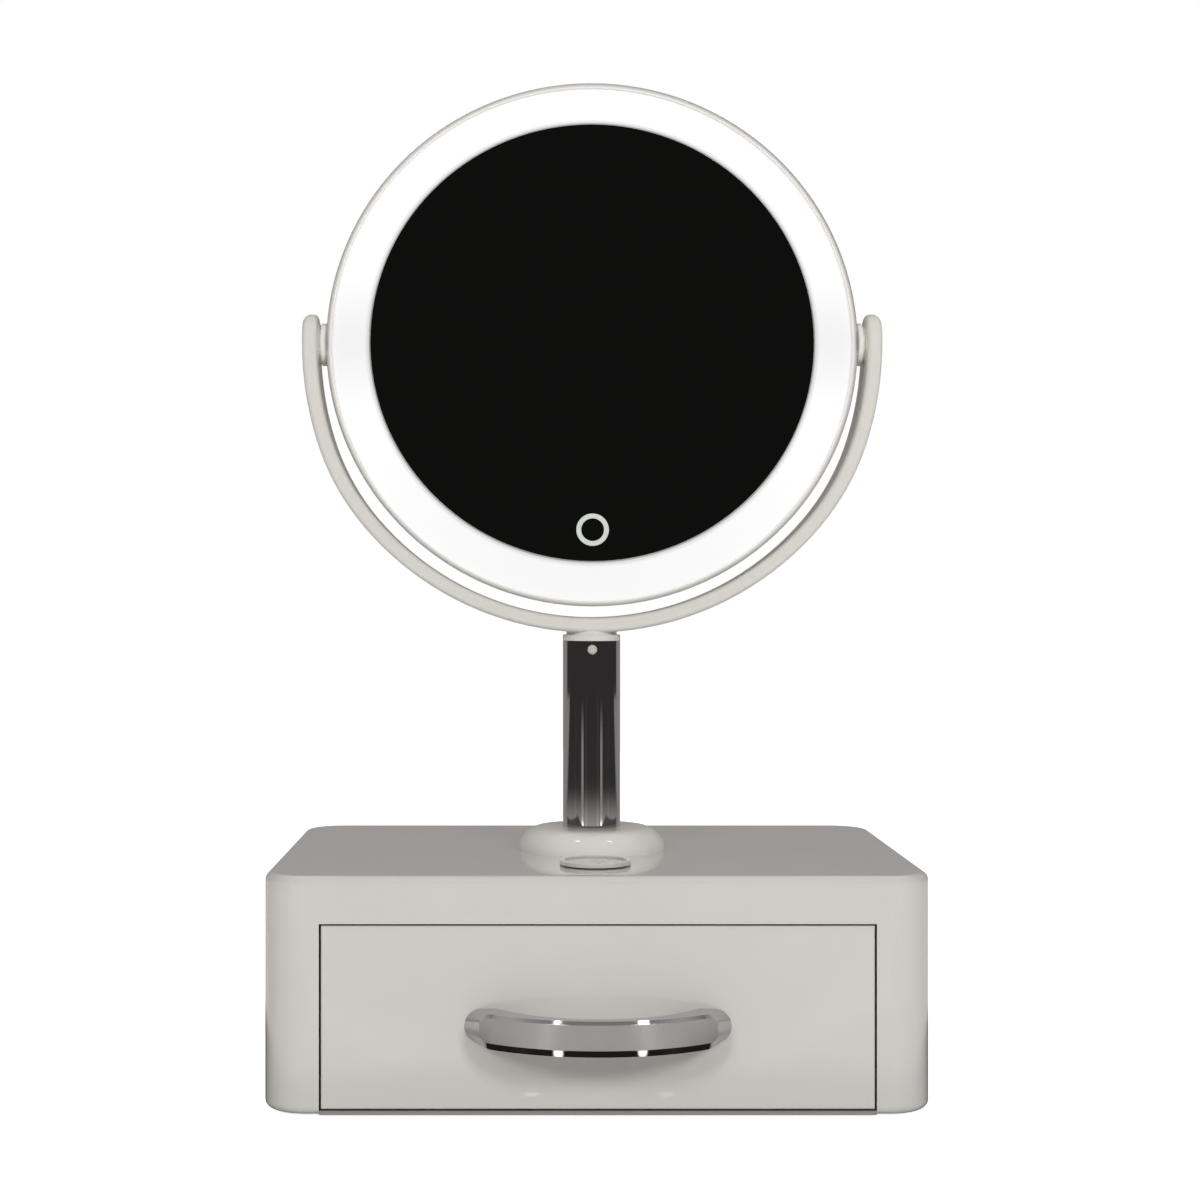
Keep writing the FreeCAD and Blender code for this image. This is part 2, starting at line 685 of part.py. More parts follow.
def runner_screw_bite():
    """Length of a runner screw inside the case side."""
    return size.runner_screw_length - size.runner_depth


def runner_screw_sink():
    """Depth of a runner screw's head in the runner."""
    return size.runner_depth / 2


def drawer_runner(label, side):
    """Hardwood strip on the inside of a case side. The drawer's side groove hangs on it."""
    made = body(label)
    wall = sketch(made, "YZ_Plane", "RunnerFace", opening_half * side)
    half = size.runner_height / 2
    start = front_rear + size.front_reveal
    rectangle(wall, start, runner_centre - half, inner_back, runner_centre + half)
    pad(made, wall, "Runner", size.runner_depth, backwards=side > 0)
    heads = sketch(made, "YZ_Plane", "RunnerSinks", (opening_half - size.runner_depth) * side)
    holes = sketch(made, "YZ_Plane", "RunnerHoles", opening_half * side)
    for y in runner_screw_places():
        circle(heads, size.runner_screw_head, y, runner_centre)
        circle(holes, size.runner_screw_shank, y, runner_centre)
    pocket(made, heads, "HeadSinks", runner_screw_sink(), backwards=side > 0)
    pocket(made, holes, "ShankHoles", through=True, backwards=side < 0)
    return made


def runner_screws():
    """Pan-head screws of both runners, their heads below the runner's face."""
    made = body("runner_screws")
    for side in (-1, 1):
        floor_of_sink = (opening_half - size.runner_depth + runner_screw_sink()) * side
        heads = sketch(made, "YZ_Plane", f"Heads{side + 2}", floor_of_sink)
        shanks = sketch(made, "YZ_Plane", f"Shanks{side + 2}", floor_of_sink)
        for y in runner_screw_places():
            circle(heads, size.runner_screw_head, y, runner_centre)
            circle(shanks, size.runner_screw_shank, y, runner_centre)
        reach = runner_screw_bite() + size.runner_depth - runner_screw_sink()
        pad(made, shanks, f"ShankPads{side + 2}", reach, backwards=side < 0)
        pad(made, heads, f"HeadPads{side + 2}", size.runner_screw_head_height, backwards=side > 0)
    return made


def drawer_stop():
    """Block under the top board that the drawer's back meets at full travel."""
    made = body("drawer_stop")
    plan = sketch(made, "XY_Plane", "StopPlan", ceiling)
    half = size.stop_length / 2
    front = front_rear + size.stop_gap
    rectangle(plan, -half, front, half, front + size.stop_depth)
    block = pad(made, plan, "StopBlock", size.stop_height, backwards=True)

    def is_lower_long_edge(middle, edge):
        return near(middle.z, ceiling - size.stop_height)

    return dress(made, "Chamfer", "StopChamfer", block, is_lower_long_edge, size.stop_chamfer)


# ---------------------------------------------------------------- the drawer

def drawer_front():
    """Lacquered front board with a bevelled face and a groove for the drawer bottom."""
    made = body("drawer_front")
    face = sketch(made, "XZ_Plane", "FrontFace", -case_front)
    rectangle(face, -front_half, front_bottom, front_half, front_top)
    board = pad(made, face, "FrontBoard", size.front_board, backwards=True)

    def is_face_edge(middle, edge):
        return near(middle.y, case_front)

    dress(made, "Fillet", "FrontRounding", board, is_face_edge, size.front_edge)
    groove = sketch(made, "XZ_Plane", "BottomGroove", -front_rear)
    reach = drawer_inner_half + size.drawer_groove
    rectangle(groove, -reach, drawer_floor_bottom, reach, drawer_floor_top)
    pocket(made, groove, "Groove", size.drawer_groove, backwards=True)
    holes = sketch(made, "XZ_Plane", "HandleHoles", -front_rear)
    for side in (-1, 1):
        circle(holes, size.handle_screw_shank, handle_screw_x * side, handle_centre)
    pocket(made, holes, "HandleScrewHoles", through=True, backwards=True)
    return made


def drawer_side(label, side):
    """Drawer side, grooved outside for the runner and inside for the drawer bottom."""
    made = body(label)
    plan = sketch(made, "YZ_Plane", "SideFace", drawer_half * side)
    rectangle(plan, front_rear, drawer_bottom, drawer_rear, drawer_side_top)
    pad(made, plan, "SideBoard", size.drawer_board, backwards=side > 0)
    channel = sketch(made, "YZ_Plane", "RunnerGroove", drawer_half * side)
    half = size.runner_height / 2 + size.runner_play
    rectangle(channel, front_rear, runner_centre - half, drawer_rear, runner_centre + half)
    depth = size.runner_depth - size.drawer_side_gap + size.runner_play
    pocket(made, channel, "RunnerChannel", depth, backwards=side < 0)
    slot = sketch(made, "YZ_Plane", "BottomSlot", drawer_inner_half * side)
    rectangle(slot, front_rear, drawer_floor_bottom, drawer_rear, drawer_floor_top)
    pocket(made, slot, "BottomGroove", size.drawer_groove, backwards=side > 0)

    def is_upper_edge(middle, edge):
        return near(middle.z, drawer_side_top) and edge.Length > size.drawer_board.value * 2

    return dress(made, "Fillet", "SoftTop", made.Tip, is_upper_edge, size.drawer_soft_edge)


def drawer_back():
    """Drawer back between the sides, standing on the bottom panel and rising to meet the stop."""
    made = body("drawer_back")
    front = drawer_rear - size.drawer_board
    plan = sketch(made, "XY_Plane", "BackPlan", drawer_floor_top)
    rectangle(plan, -drawer_inner_half, front, drawer_inner_half, drawer_rear)
    height = ceiling - size.drawer_back_top_gap - drawer_floor_top
    board = pad(made, plan, "BackBoard", height)

    def is_top_edge(middle, edge):
        long_enough = edge.Length > size.drawer_board.value * 2
        return long_enough and near(middle.z, ceiling - size.drawer_back_top_gap)

    return dress(made, "Fillet", "SoftTop", board, is_top_edge, size.drawer_soft_edge)


def drawer_bottom_panel():
    """Bottom panel held in the grooves of the front and sides, running under the back."""
    made = body("drawer_bottom")
    plan = sketch(made, "XY_Plane", "BottomPlan", drawer_floor_bottom)
    reach = drawer_inner_half + size.drawer_groove
    rectangle(plan, -reach, front_rear - size.drawer_groove, reach, drawer_rear)
    return pad(made, plan, "Panel", size.drawer_floor)


def drawer_lining():
    """Felt sheet on the drawer bottom."""
    made = body("drawer_lining")
    plan = sketch(made, "XY_Plane", "LiningPlan", drawer_floor_top)
    half = drawer_inner_half - size.lining_gap
    rear = drawer_rear - size.drawer_board - size.lining_gap
    rectangle(plan, -half, front_rear + size.lining_gap, half, rear)
    return pad(made, plan, "Lining", size.lining_thickness)


def stadium(drawing, half_length, half_height, centre_height):
    """Draw a slot outline with half-round ends, each end as two quarter arcs."""
    straight = half_length - half_height
    low = centre_height - half_height
    high = centre_height + half_height
    outline(
        drawing,
        [(-straight, low), (straight, low), (half_length, centre_height), (straight, high),
         (-straight, high), (-half_length, centre_height)],
        {side: (half_height, "left") for side in (1, 2, 4, 5)},
    )


def handle():
    """Cast bow handle: round-ended, arched out from the drawer front and bevelled round its face."""
    made = body("handle")
    half = size.handle_length / 2
    half_height = size.handle_height / 2
    gap = half - size.handle_foot
    reach = case_front - size.handle_reach
    foot = sketch(made, "XZ_Plane", "FootOutline", -case_front)
    stadium(foot, half, half_height, handle_centre)
    nose = sketch(made, "XZ_Plane", "NoseOutline", -reach)
    stadium(nose, half - size.handle_flare, half_height, handle_centre)
    block = made.newObject("PartDesign::AdditiveLoft", "FlaredBlock")
    block.Profile = foot
    block.Sections = [nose]
    block.Ruled = True
    document.recompute()
    rise = size.handle_reach - size.handle_end_reach
    face_radius = (half * half + rise * rise) / (rise * 2)
    ends = case_front - size.handle_end_reach
    excess = sketch(made, "XY_Plane", "FrontExcess", handle_centre)
    outline(
        excess,
        [(half, ends), (half, reach - size.handle_strap), (-half, reach - size.handle_strap), (-half, ends)],
        {3: (face_radius, "left")},
    )
    bowed = pocket(made, excess, "BowedFace", through=True, midplane=True)
    face_centre = Vector(0, reach.value + face_radius.value, handle_centre.value)

    def is_face_edge(middle, edge):
        flat = Vector(middle.x, middle.y, face_centre.z)
        return near((flat - face_centre).Length, face_radius)

    dress(made, "Chamfer", "FaceBevel", bowed, is_face_edge, size.handle_bevel)
    inner_rise = size.handle_reach - size.handle_strap
    inner_radius = (gap * gap + inner_rise * inner_rise) / (inner_rise * 2)
    finger = sketch(made, "XY_Plane", "FingerGap", handle_centre)
    outline(finger, [(-gap, case_front), (gap, case_front)], {0: (inner_radius, "left")})
    pocket(made, finger, "Opening", through=True, midplane=True)
    holes = sketch(made, "XZ_Plane", "ScrewHoles", -case_front)
    for side in (-1, 1):
        circle(holes, size.handle_screw_shank, handle_screw_x * side, handle_centre)
    pocket(made, holes, "ThreadedHoles", size.handle_screw_bite, backwards=True)
    return made


def handle_screws():
    """The two screws that hold the handle from inside the drawer."""
    made = body("handle_screws")
    shanks = sketch(made, "XZ_Plane", "Shanks", -front_rear)
    heads = sketch(made, "XZ_Plane", "Heads", -front_rear)
    for side in (-1, 1):
        x = handle_screw_x * side
        circle(shanks, size.handle_screw_shank, x, handle_centre)
        circle(heads, size.handle_screw_head, x, handle_centre)
    pad(made, shanks, "ShankPads", size.front_board + size.handle_screw_bite)
    return pad(made, heads, "HeadPads", size.handle_screw_head_height, backwards=True)


# ---------------------------------------------------------------- the post

def post_collar():
    """Moulded collar round the foot of the tube."""
    made = body("post_collar")
    profile = sketch(made, "XZ_Plane", "CollarProfile")
    bore = size.tube_diameter / 2
    top = case_top + size.collar_height
    waist = case_top + size.collar_waist
    waist_radius = size.collar_base_radius - size.collar_flare
    top_radius = waist_radius - size.collar_shoulder
    outline(
        profile,
        [(bore, case_top), (size.collar_base_radius, case_top), (waist_radius, waist),
         (top_radius, top), (bore, top)],
        {2: (size.collar_round, "left")},
    )
    return revolve(made, profile, "Collar")


def post_tube():
    """Chromed tube, drilled at the top for the lock button."""
    made = body("post_tube")
    section = sketch(made, "XY_Plane", "TubeSection", tube_bottom)
    circle(section, size.tube_diameter)
    circle(section, tube_inner_radius * 2)
    pad(made, section, "Tube", tube_top - tube_bottom)
    hole = sketch(made, "XZ_Plane", "ButtonHole")
    circle(hole, size.button_diameter + size.button_play * 2, 0, button_level)
    pocket(made, hole, "ButtonPassage", through=True, backwards=True)
    return made


def post_plug():
    """Threaded steel plug in the foot of the tube."""
    made = body("post_plug")
    section = sketch(made, "XY_Plane", "PlugSection", tube_bottom)
    circle(section, tube_inner_radius * 2)
    circle(section, size.bolt_shank)
    return pad(made, section, "Plug", size.plug_length)


def hexagon(drawing, across_flats):
    """Draw a hexagon round the sketch's origin."""
    half = across_flats / 2
    corner = half * (2 / math.sqrt(3))
    outline(drawing, [
        (corner, as_size(0)), (corner / 2, half), (-corner / 2, half),
        (-corner, as_size(0)), (-corner / 2, -half), (corner / 2, -half),
    ])


def post_bolt():
    """Hexagon bolt that draws the post down on the case from below."""
    made = body("post_bolt")
    seat = ceiling + size.bolt_pocket_depth - size.washer_thickness
    head = sketch(made, "XY_Plane", "HeadPlan", seat)
    hexagon(head, size.bolt_head_width)
    pad(made, head, "Head", size.bolt_head_height, backwards=True)
    shank = sketch(made, "XY_Plane", "ShankPlan", seat)
    circle(shank, size.bolt_shank)
    return pad(made, shank, "Shank", tube_bottom + size.bolt_bite - seat)


def bolt_washer():
    """Washer between the bolt head and the top board."""
    made = body("bolt_washer")
    section = sketch(made, "XY_Plane", "WasherSection", ceiling + size.bolt_pocket_depth)
    circle(section, size.washer_diameter)
    circle(section, size.bolt_shank)
    return pad(made, section, "Washer", size.washer_thickness, backwards=True)


def badge_disc():
    """Plain round plate with a raised rim, glued on the top in front of the post."""
    made = body("badge_disc")
    plan = sketch(made, "XY_Plane", "DiscPlan", case_top)
    circle(plan, size.badge_diameter, 0, badge_y)
    disc = pad(made, plan, "Disc", size.badge_thickness)

    def is_top_edge(middle, edge):
        return near(middle.z, case_top + size.badge_thickness)

    dress(made, "Fillet", "DiscEdge", disc, is_top_edge, size.badge_edge)
    dish = sketch(made, "XY_Plane", "DishPlan", case_top + size.badge_thickness)
    circle(dish, size.badge_diameter - size.badge_rim * 2, 0, badge_y)
    return pocket(made, dish, "Dish", size.badge_dish)


# ---------------------------------------------------------------- the fork

def fork_side(inset):
    """Right half of the fork's outline: its three joints and the radius of each arc between them."""
    turns = [math.radians(degrees) for degrees in FORK_TURNS]
    cosines = [math.cos(turn) for turn in turns]
    sines = [math.sin(turn) for turn in turns]
    flank = (
        cosines[1] * (1 - FORK_BOW * sines[0]) - (1 - FORK_BOW + FORK_BOW * cosines[0]) * (1 - sines[1])
    ) / ((cosines[1] - cosines[0]) * (1 - sines[1]) - cosines[1] * (sines[0] - sines[1]))
    foot = (1 - FORK_BOW + FORK_BOW * cosines[0] + flank * (cosines[1] - cosines[0])) / cosines[1]
    upper = (
        yoke_radius * (1 - FORK_BOW + FORK_BOW * cosines[0]) - inset * cosines[0],
        -yoke_radius * (FORK_BOW * sines[0]) + inset * sines[0],
    )
    lower = (
        yoke_radius * (foot * cosines[1]) - inset * cosines[1],
        yoke_radius * (foot - 1 - foot * sines[1]) + inset * sines[1],
    )
    radii = [yoke_radius * ratio - inset for ratio in (FORK_BOW, flank, foot)]
    return upper, lower, radii


def yoke():
    """Half-round fork with a hollow stem that plugs into the tube. Drawn round the tilt axis."""
    made = on_pivot(body("yoke"), leaning=False)
    outer = yoke_radius
    inner = yoke_inner_radius
    tip = size.yoke_tip
    upper, lower, radii = fork_side(as_size(0))
    inner_upper, inner_lower, inner_radii = fork_side(size.yoke_band)
    corner_x = outer - size.tip_narrow
    corner_z = tip - size.tip_drop
    corner = (size.tip_drop * size.tip_drop + size.tip_narrow * size.tip_narrow) / (size.tip_narrow * 2)
    right = [
        lower, upper, (outer, as_size(0)), (outer, corner_z), (corner_x, tip), (inner, tip),
        (inner, as_size(0)), inner_upper, inner_lower,
    ]
    left = [(-x, z) for x, z in reversed(right)]
    points = [(as_size(0), -outer)] + right + [(as_size(0), -inner)] + left
    arcs = {4: (corner, "left"), 15: (corner, "left")}
    for step, radius in enumerate(reversed(radii)):
        arcs[step] = (radius, "left")
        arcs[len(points) - 1 - step] = (radius, "left")
    for step, radius in enumerate(inner_radii):
        arcs[7 + step] = (radius, "right")
        arcs[12 - step] = (radius, "right")
    band = sketch(made, "XZ_Plane", "ForkOutline")
    outline(band, points, arcs)
    pad(made, band, "ForkBand", size.yoke_depth, midplane=True)
    half_depth = size.yoke_depth / 2
    spring_line = tip - half_depth
    beyond = half_depth + size.yoke_edge
    crown = sketch(made, "YZ_Plane", "ArmCrown")
    outline(
        crown,
        [(half_depth, spring_line), (beyond, spring_line), (beyond, tip + size.yoke_edge),
         (-beyond, tip + size.yoke_edge), (-beyond, spring_line), (-half_depth, spring_line), (0, tip)],
        {5: (half_depth, "right"), 6: (half_depth, "right")},
    )
    fork = pocket(made, crown, "RoundedArms", through=True, midplane=True)
    dress(made, "Fillet", "ForkEdges", fork, lambda middle, edge: True, size.yoke_edge)
    stem_radius = tube_inner_radius - size.stem_play
    neck_radius = tube_radius - size.neck_step
    shoulder = -outer - size.flange_height
    lip = shoulder + size.flange_lip
    end = shoulder - size.stem_length
    roof = -inner - size.stem_roof
    stem = sketch(made, "XZ_Plane", "StemProfile")
    outline(stem, [
        (as_size(0), roof + size.stem_roof / 2), (as_size(0), roof), (stem_wall_front, roof),
        (stem_wall_front, end), (stem_radius, end), (stem_radius, shoulder), (tube_radius, shoulder),
        (tube_radius, lip), (neck_radius, lip), (neck_radius, roof),
        (stem_wall_front + size.stem_roof / 2, roof + size.stem_roof / 2),
    ])
    revolve(made, stem, "Stem")
    hollow = sketch(made, "XY_Plane", "StemHollow", shoulder)
    circle(hollow, size.stem_bore)
    pocket(made, hollow, "StemBore", roof - shoulder, backwards=True)
    hole = sketch(made, "XZ_Plane", "ButtonHole")
    circle(hole, size.button_diameter + size.button_play * 2, 0, button_level - pivot_height)
    pocket(made, hole, "ButtonPassage", through=True, backwards=True)
    for side in (-1, 1):
        arm = "Right" if side > 0 else "Left"
        boss = sketch(made, "YZ_Plane", f"{arm}Boss", arm_boss_face * side)
        circle(boss, size.pivot_boss_diameter)
        pad(made, boss, f"{arm}BossPad", size.arm_boss_height + size.yoke_band / 2, backwards=side < 0)
        bore = sketch(made, "YZ_Plane", f"{arm}Bore", arm_boss_face * side)
        circle(bore, size.pivot_screw_shank + size.pivot_play * 2)
        pocket(made, bore, f"{arm}PivotHole", through=True, backwards=side > 0)
        recess = sketch(made, "YZ_Plane", f"{arm}Recess", pivot_pocket_floor * side)
        circle(recess, size.pivot_pocket_diameter)
        pocket(made, recess, f"{arm}PivotPocket", through=True, backwards=side > 0)
    return made


def pivot_disc(label, side, leaning, rings):
    """Coaxial discs on the tilt axis, each given as diameter, bore or None, start and length."""
    made = on_pivot(body(label), leaning=leaning)
    for number, (diameter, bore, start, length) in enumerate(rings):
        section = sketch(made, "YZ_Plane", f"Section{number}", start * side)
        circle(section, diameter)
        if bore is not None:
            circle(section, bore)
        pad(made, section, f"Disc{number}", length, backwards=side < 0)
    return made


def friction_washer(label, side):
    """Nylon washer that the mirror's boss turns against."""
    bore = size.pivot_screw_shank + size.pivot_play * 2
    ring = (size.friction_washer_diameter, bore, head_boss_face, size.friction_washer)
    return pivot_disc(label, side, False, [ring])


def pivot_screw(label, side):
    """Screw that the mirror turns on, threaded into the insert. It turns with the mirror."""
    shank_start = head_boss_face - size.insert_length
    head = (size.pivot_screw_head, None, pivot_pocket_floor, size.pivot_screw_head_height)
    shank = (size.pivot_screw_shank, None, shank_start, pivot_pocket_floor - shank_start)
    made = pivot_disc(label, side, True, [shank, head])
    top = pivot_pocket_floor + size.pivot_screw_head_height
    slot = sketch(made, "YZ_Plane", "DriveSlot", top * side)
    half = size.pivot_screw_head / 2
    half_slot = size.pivot_slot_width / 2
    rectangle(slot, -half, -half_slot, half, half_slot)
    pocket(made, slot, "Slot", size.pivot_slot_depth, backwards=side < 0)
    return made


def pivot_cap(label, side):
    """Cover disc pressed flush into the arm over the screw."""
    start = yoke_radius - size.pivot_cap_thickness
    disc = (size.pivot_pocket_diameter, None, start, size.pivot_cap_thickness)
    return pivot_disc(label, side, False, [disc])


def pivot_insert(label, side):
    """Brass insert in the mirror's boss."""
    start = head_boss_face - size.insert_length
    ring = (size.insert_diameter, size.pivot_screw_shank, start, size.insert_length)
    return pivot_disc(label, side, True, [ring])


# ---------------------------------------------------------------- the lock button

def button_face():
    """Y of the button flange's front side, behind the stem's inner wall."""
    return -stem_wall_front + size.button_flange_gap


def lock_button():
    """White button that holds the stem in the tube, with a flange behind the stem's wall."""
    made = body("lock_button")
    tip = tube_radius + size.button_proud
    round_pin = sketch(made, "XZ_Plane", "PinSection", -button_face())
    circle(round_pin, size.button_diameter, 0, button_level)
    shaft = pad(made, round_pin, "Pin", tip + button_face())

    def is_tip_edge(middle, edge):
        return near(middle.y, -tip)

    dress(made, "Fillet", "DomedTip", shaft, is_tip_edge, size.button_dome)
    flange = sketch(made, "XZ_Plane", "FlangeSection", -button_face())
    circle(flange, size.button_flange, 0, button_level)
    return pad(made, flange, "Flange", size.button_flange_depth, backwards=True)


def button_spring():
    """Leaf bent to a U inside the stem, pushing the button out."""
    made = body("button_spring")
    front = button_face() + size.button_flange_depth
    rear = size.stem_bore / 2 - size.spring_leaf
    top = button_level + size.button_diameter / 2
    low = top - size.spring_length
    bend = (rear - front) / 2
    middle = (rear + front) / 2
    thin = size.spring_leaf
    side = sketch(made, "YZ_Plane", "LeafOutline")
    outline(
        side,
        [(front, top), (front, low), (middle, low - bend), (rear, low), (rear, top),
         (rear - thin, top), (rear - thin, low), (middle, low - bend + thin), (front + thin, low),
         (front + thin, top)],
        {1: (bend, "left"), 2: (bend, "left"), 6: (bend - thin, "right"), 7: (bend - thin, "right")},
    )
    return pad(made, side, "Leaf", size.spring_width, midplane=True)


# ---------------------------------------------------------------- the mirror head

def head_rim():
    """Turned rim with an inner web and the two pivot bosses. Drawn round the tilt axis."""
    made = on_pivot(body("head_rim"))
    outer = head_radius
    inner = rim_inner_radius
    front = rim_front
    edge_start = front + size.rim_edge
    profile = sketch(made, "XY_Plane", "RimProfile")
    outline(
        profile,
        [(inner, front), (outer - size.rim_edge, front), (outer, edge_start), (rear_radius, rim_rear),
         (rear_inner_radius, rim_rear), (rear_inner_radius, web_rear), (web_inner_radius, web_rear),
         (web_inner_radius, web_front), (inner, web_front)],
        {1: (size.rim_edge, "left")},
    )
    revolve(made, profile, "Rim")
    root = inner + size.boss_root
    for side in (-1, 1):
        arm = "Right" if side > 0 else "Left"
        boss = sketch(made, "YZ_Plane", f"{arm}Boss", root * side)
        circle(boss, size.pivot_boss_diameter)
        pad(made, boss, f"{arm}BossPad", head_boss_face - root, backwards=side < 0)
    clearing = sketch(made, "XZ_Plane", "FrontClearing", -front)
    circle(clearing, outer * 2)
    pocket(made, clearing, "BossTrim", size.pivot_boss_diameter, backwards=True)
    for side in (-1, 1):
        arm = "Right" if side > 0 else "Left"
        bore = sketch(made, "YZ_Plane", f"{arm}Bore", head_boss_face * side)
        circle(bore, size.insert_diameter)
        pocket(made, bore, f"{arm}InsertHole", size.insert_length, backwards=side < 0)
    screw = sketch(made, "XZ_Plane", "CoverScrewHole", -web_rear)
    x, z = cover_screw_place()
    circle(screw, size.cover_screw_shank, x, z)
    first = pocket(made, screw, "CoverScrewBore", size.web_half * 2, backwards=True)
    ring_pattern(made, first, size.cover_screw_count, "CoverScrewBores")
    return made


def cover_screw_place():
    """First screw of the circle, turned by half a step so that none lies on the tilt axis."""
    angle = math.pi / size.cover_screw_count.value
    reach = rear_inner_radius - size.cover_screw_inset
    return reach * math.cos(angle), reach * math.sin(angle)


def mirror_glass():
    """Bevelled round glass with a shallow ring let in for the touch mark."""
    made = on_pivot(body("mirror_glass"))
    face = -size.glass_front
    profile = sketch(made, "XY_Plane", "GlassProfile")
    outline(profile, [
        (0, face), (size.glass_radius - size.glass_bevel, face),
        (size.glass_radius, face + size.glass_bevel), (size.glass_radius, glass_rear), (0, glass_rear),
    ])
    revolve(made, profile, "Glass")
    ring = sketch(made, "XZ_Plane", "TouchGroove", size.glass_front)
    circle(ring, size.touch_outer, 0, touch_z)
    circle(ring, size.touch_inner, 0, touch_z)
    pocket(made, ring, "Groove", size.touch_depth)
    return made


def touch_ring():
    """Pale ring in the glass that marks where to touch."""
    made = on_pivot(body("touch_ring"))
    ring = sketch(made, "XZ_Plane", "RingSection", size.glass_front)
    circle(ring, size.touch_outer, 0, touch_z)
    circle(ring, size.touch_inner, 0, touch_z)
    return pad(made, ring, "Ring", size.touch_depth, backwards=True)


def touch_sensor():
    """Touch sensor against the back of the glass."""
    made = on_pivot(body("touch_sensor"))
    disc = sketch(made, "XZ_Plane", "SensorSection", -glass_rear)
    circle(disc, size.sensor_diameter, 0, touch_z)
    return pad(made, disc, "Sensor", size.sensor_thickness, backwards=True)


def diffuser_ring():
    """Opal light ring that falls back from the glass to the rim, with a skirt at each edge."""
    made = on_pivot(body("diffuser_ring"))
    inner = diffuser_inner_radius
    outer = diffuser_outer_radius
    wall = size.diffuser_wall
    front = -size.glass_front + size.diffuser_gap / 2
    back = front + size.diffuser_slope
    profile = sketch(made, "XY_Plane", "DiffuserProfile")
    outline(profile, [
        (inner, front), (outer, back), (outer, flange_rear), (outer - wall, flange_rear),
        (outer - wall, back + wall), (inner + wall, front + wall), (inner + wall, flange_front),
        (inner, flange_front),
    ])
    return revolve(made, profile, "Diffuser")


def glass_carrier():
    """Pan that carries the glass in front and the lamp board on its flange."""
    made = on_pivot(body("glass_carrier"))
    wall_outer = size.glass_radius
    wall_inner = wall_outer - size.carrier_wall
    flange_radius = diffuser_outer_radius - size.diffuser_wall - size.diffuser_gap
    profile = sketch(made, "XY_Plane", "CarrierProfile")
    outline(profile, [
        (0, glass_rear), (wall_outer, glass_rear), (wall_outer, flange_front),
        (flange_radius, flange_front), (flange_radius, flange_rear), (wall_inner, flange_rear),
        (wall_inner, carrier_rear), (0, carrier_rear),
    ])
    revolve(made, profile, "Pan")
    hole = sketch(made, "XZ_Plane", "SensorHole", -glass_rear)
    circle(hole, size.sensor_diameter + size.sensor_gap * 2, 0, touch_z)
    pocket(made, hole, "SensorWindow", size.carrier_wall)
    return made


def led_ring_radii():
    """Inner and outer radius of the lamp board."""
    inner = diffuser_inner_radius + size.diffuser_wall + size.led_board_gap
    outer = diffuser_outer_radius - size.diffuser_wall - size.led_board_gap
    return inner, outer


def led_board():
    """Ring-shaped lamp board on the carrier's flange."""
    made = on_pivot(body("led_board"))
    inner, outer = led_ring_radii()
    ring = sketch(made, "XZ_Plane", "BoardSection", -flange_front)
    circle(ring, outer * 2)
    circle(ring, inner * 2)
    return pad(made, ring, "Board", size.board_thickness)


def led_chips():
    """The lamps, evenly spaced round the board."""
    made = on_pivot(body("led_chips"))
    inner, outer = led_ring_radii()
    middle = (inner + outer) / 2
    half_width = size.led_width / 2
    half_length = size.led_length / 2
    lamp = sketch(made, "XZ_Plane", "LampPlan", size.board_thickness - flange_front)
    rectangle(lamp, middle - half_width, -half_length, middle + half_width, half_length)
    first = pad(made, lamp, "Lamp", size.led_height)
    return ring_pattern(made, first, size.led_count, "Lamps")


def control_board():
    """Control board on the back of the carrier."""
    made = on_pivot(body("control_board"))
    plan = sketch(made, "XZ_Plane", "BoardPlan", -carrier_rear)
    half = size.control_width / 2
    low = size.control_raise - size.control_height / 2
    high = size.control_raise + size.control_height / 2
    rectangle(plan, -half, low, half, high)
    pad(made, plan, "Board", size.board_thickness, backwards=True)
    chips = sketch(made, "XZ_Plane", "ChipPlan", -carrier_rear - size.board_thickness)
    for step in (-1, 0, 1):
        x = half / 2 * step
        rectangle(
            chips, x - size.chip_half, size.control_raise - size.chip_half,
            x + size.chip_half, size.control_raise + size.chip_half,
        )
    return pad(made, chips, "Chips", size.board_thickness, backwards=True)


def cover_arc(rise, run):
    """Radius of the cover's rounding, level where it meets the flat middle."""
    return (rise * rise + run * run) / (rise * 2)


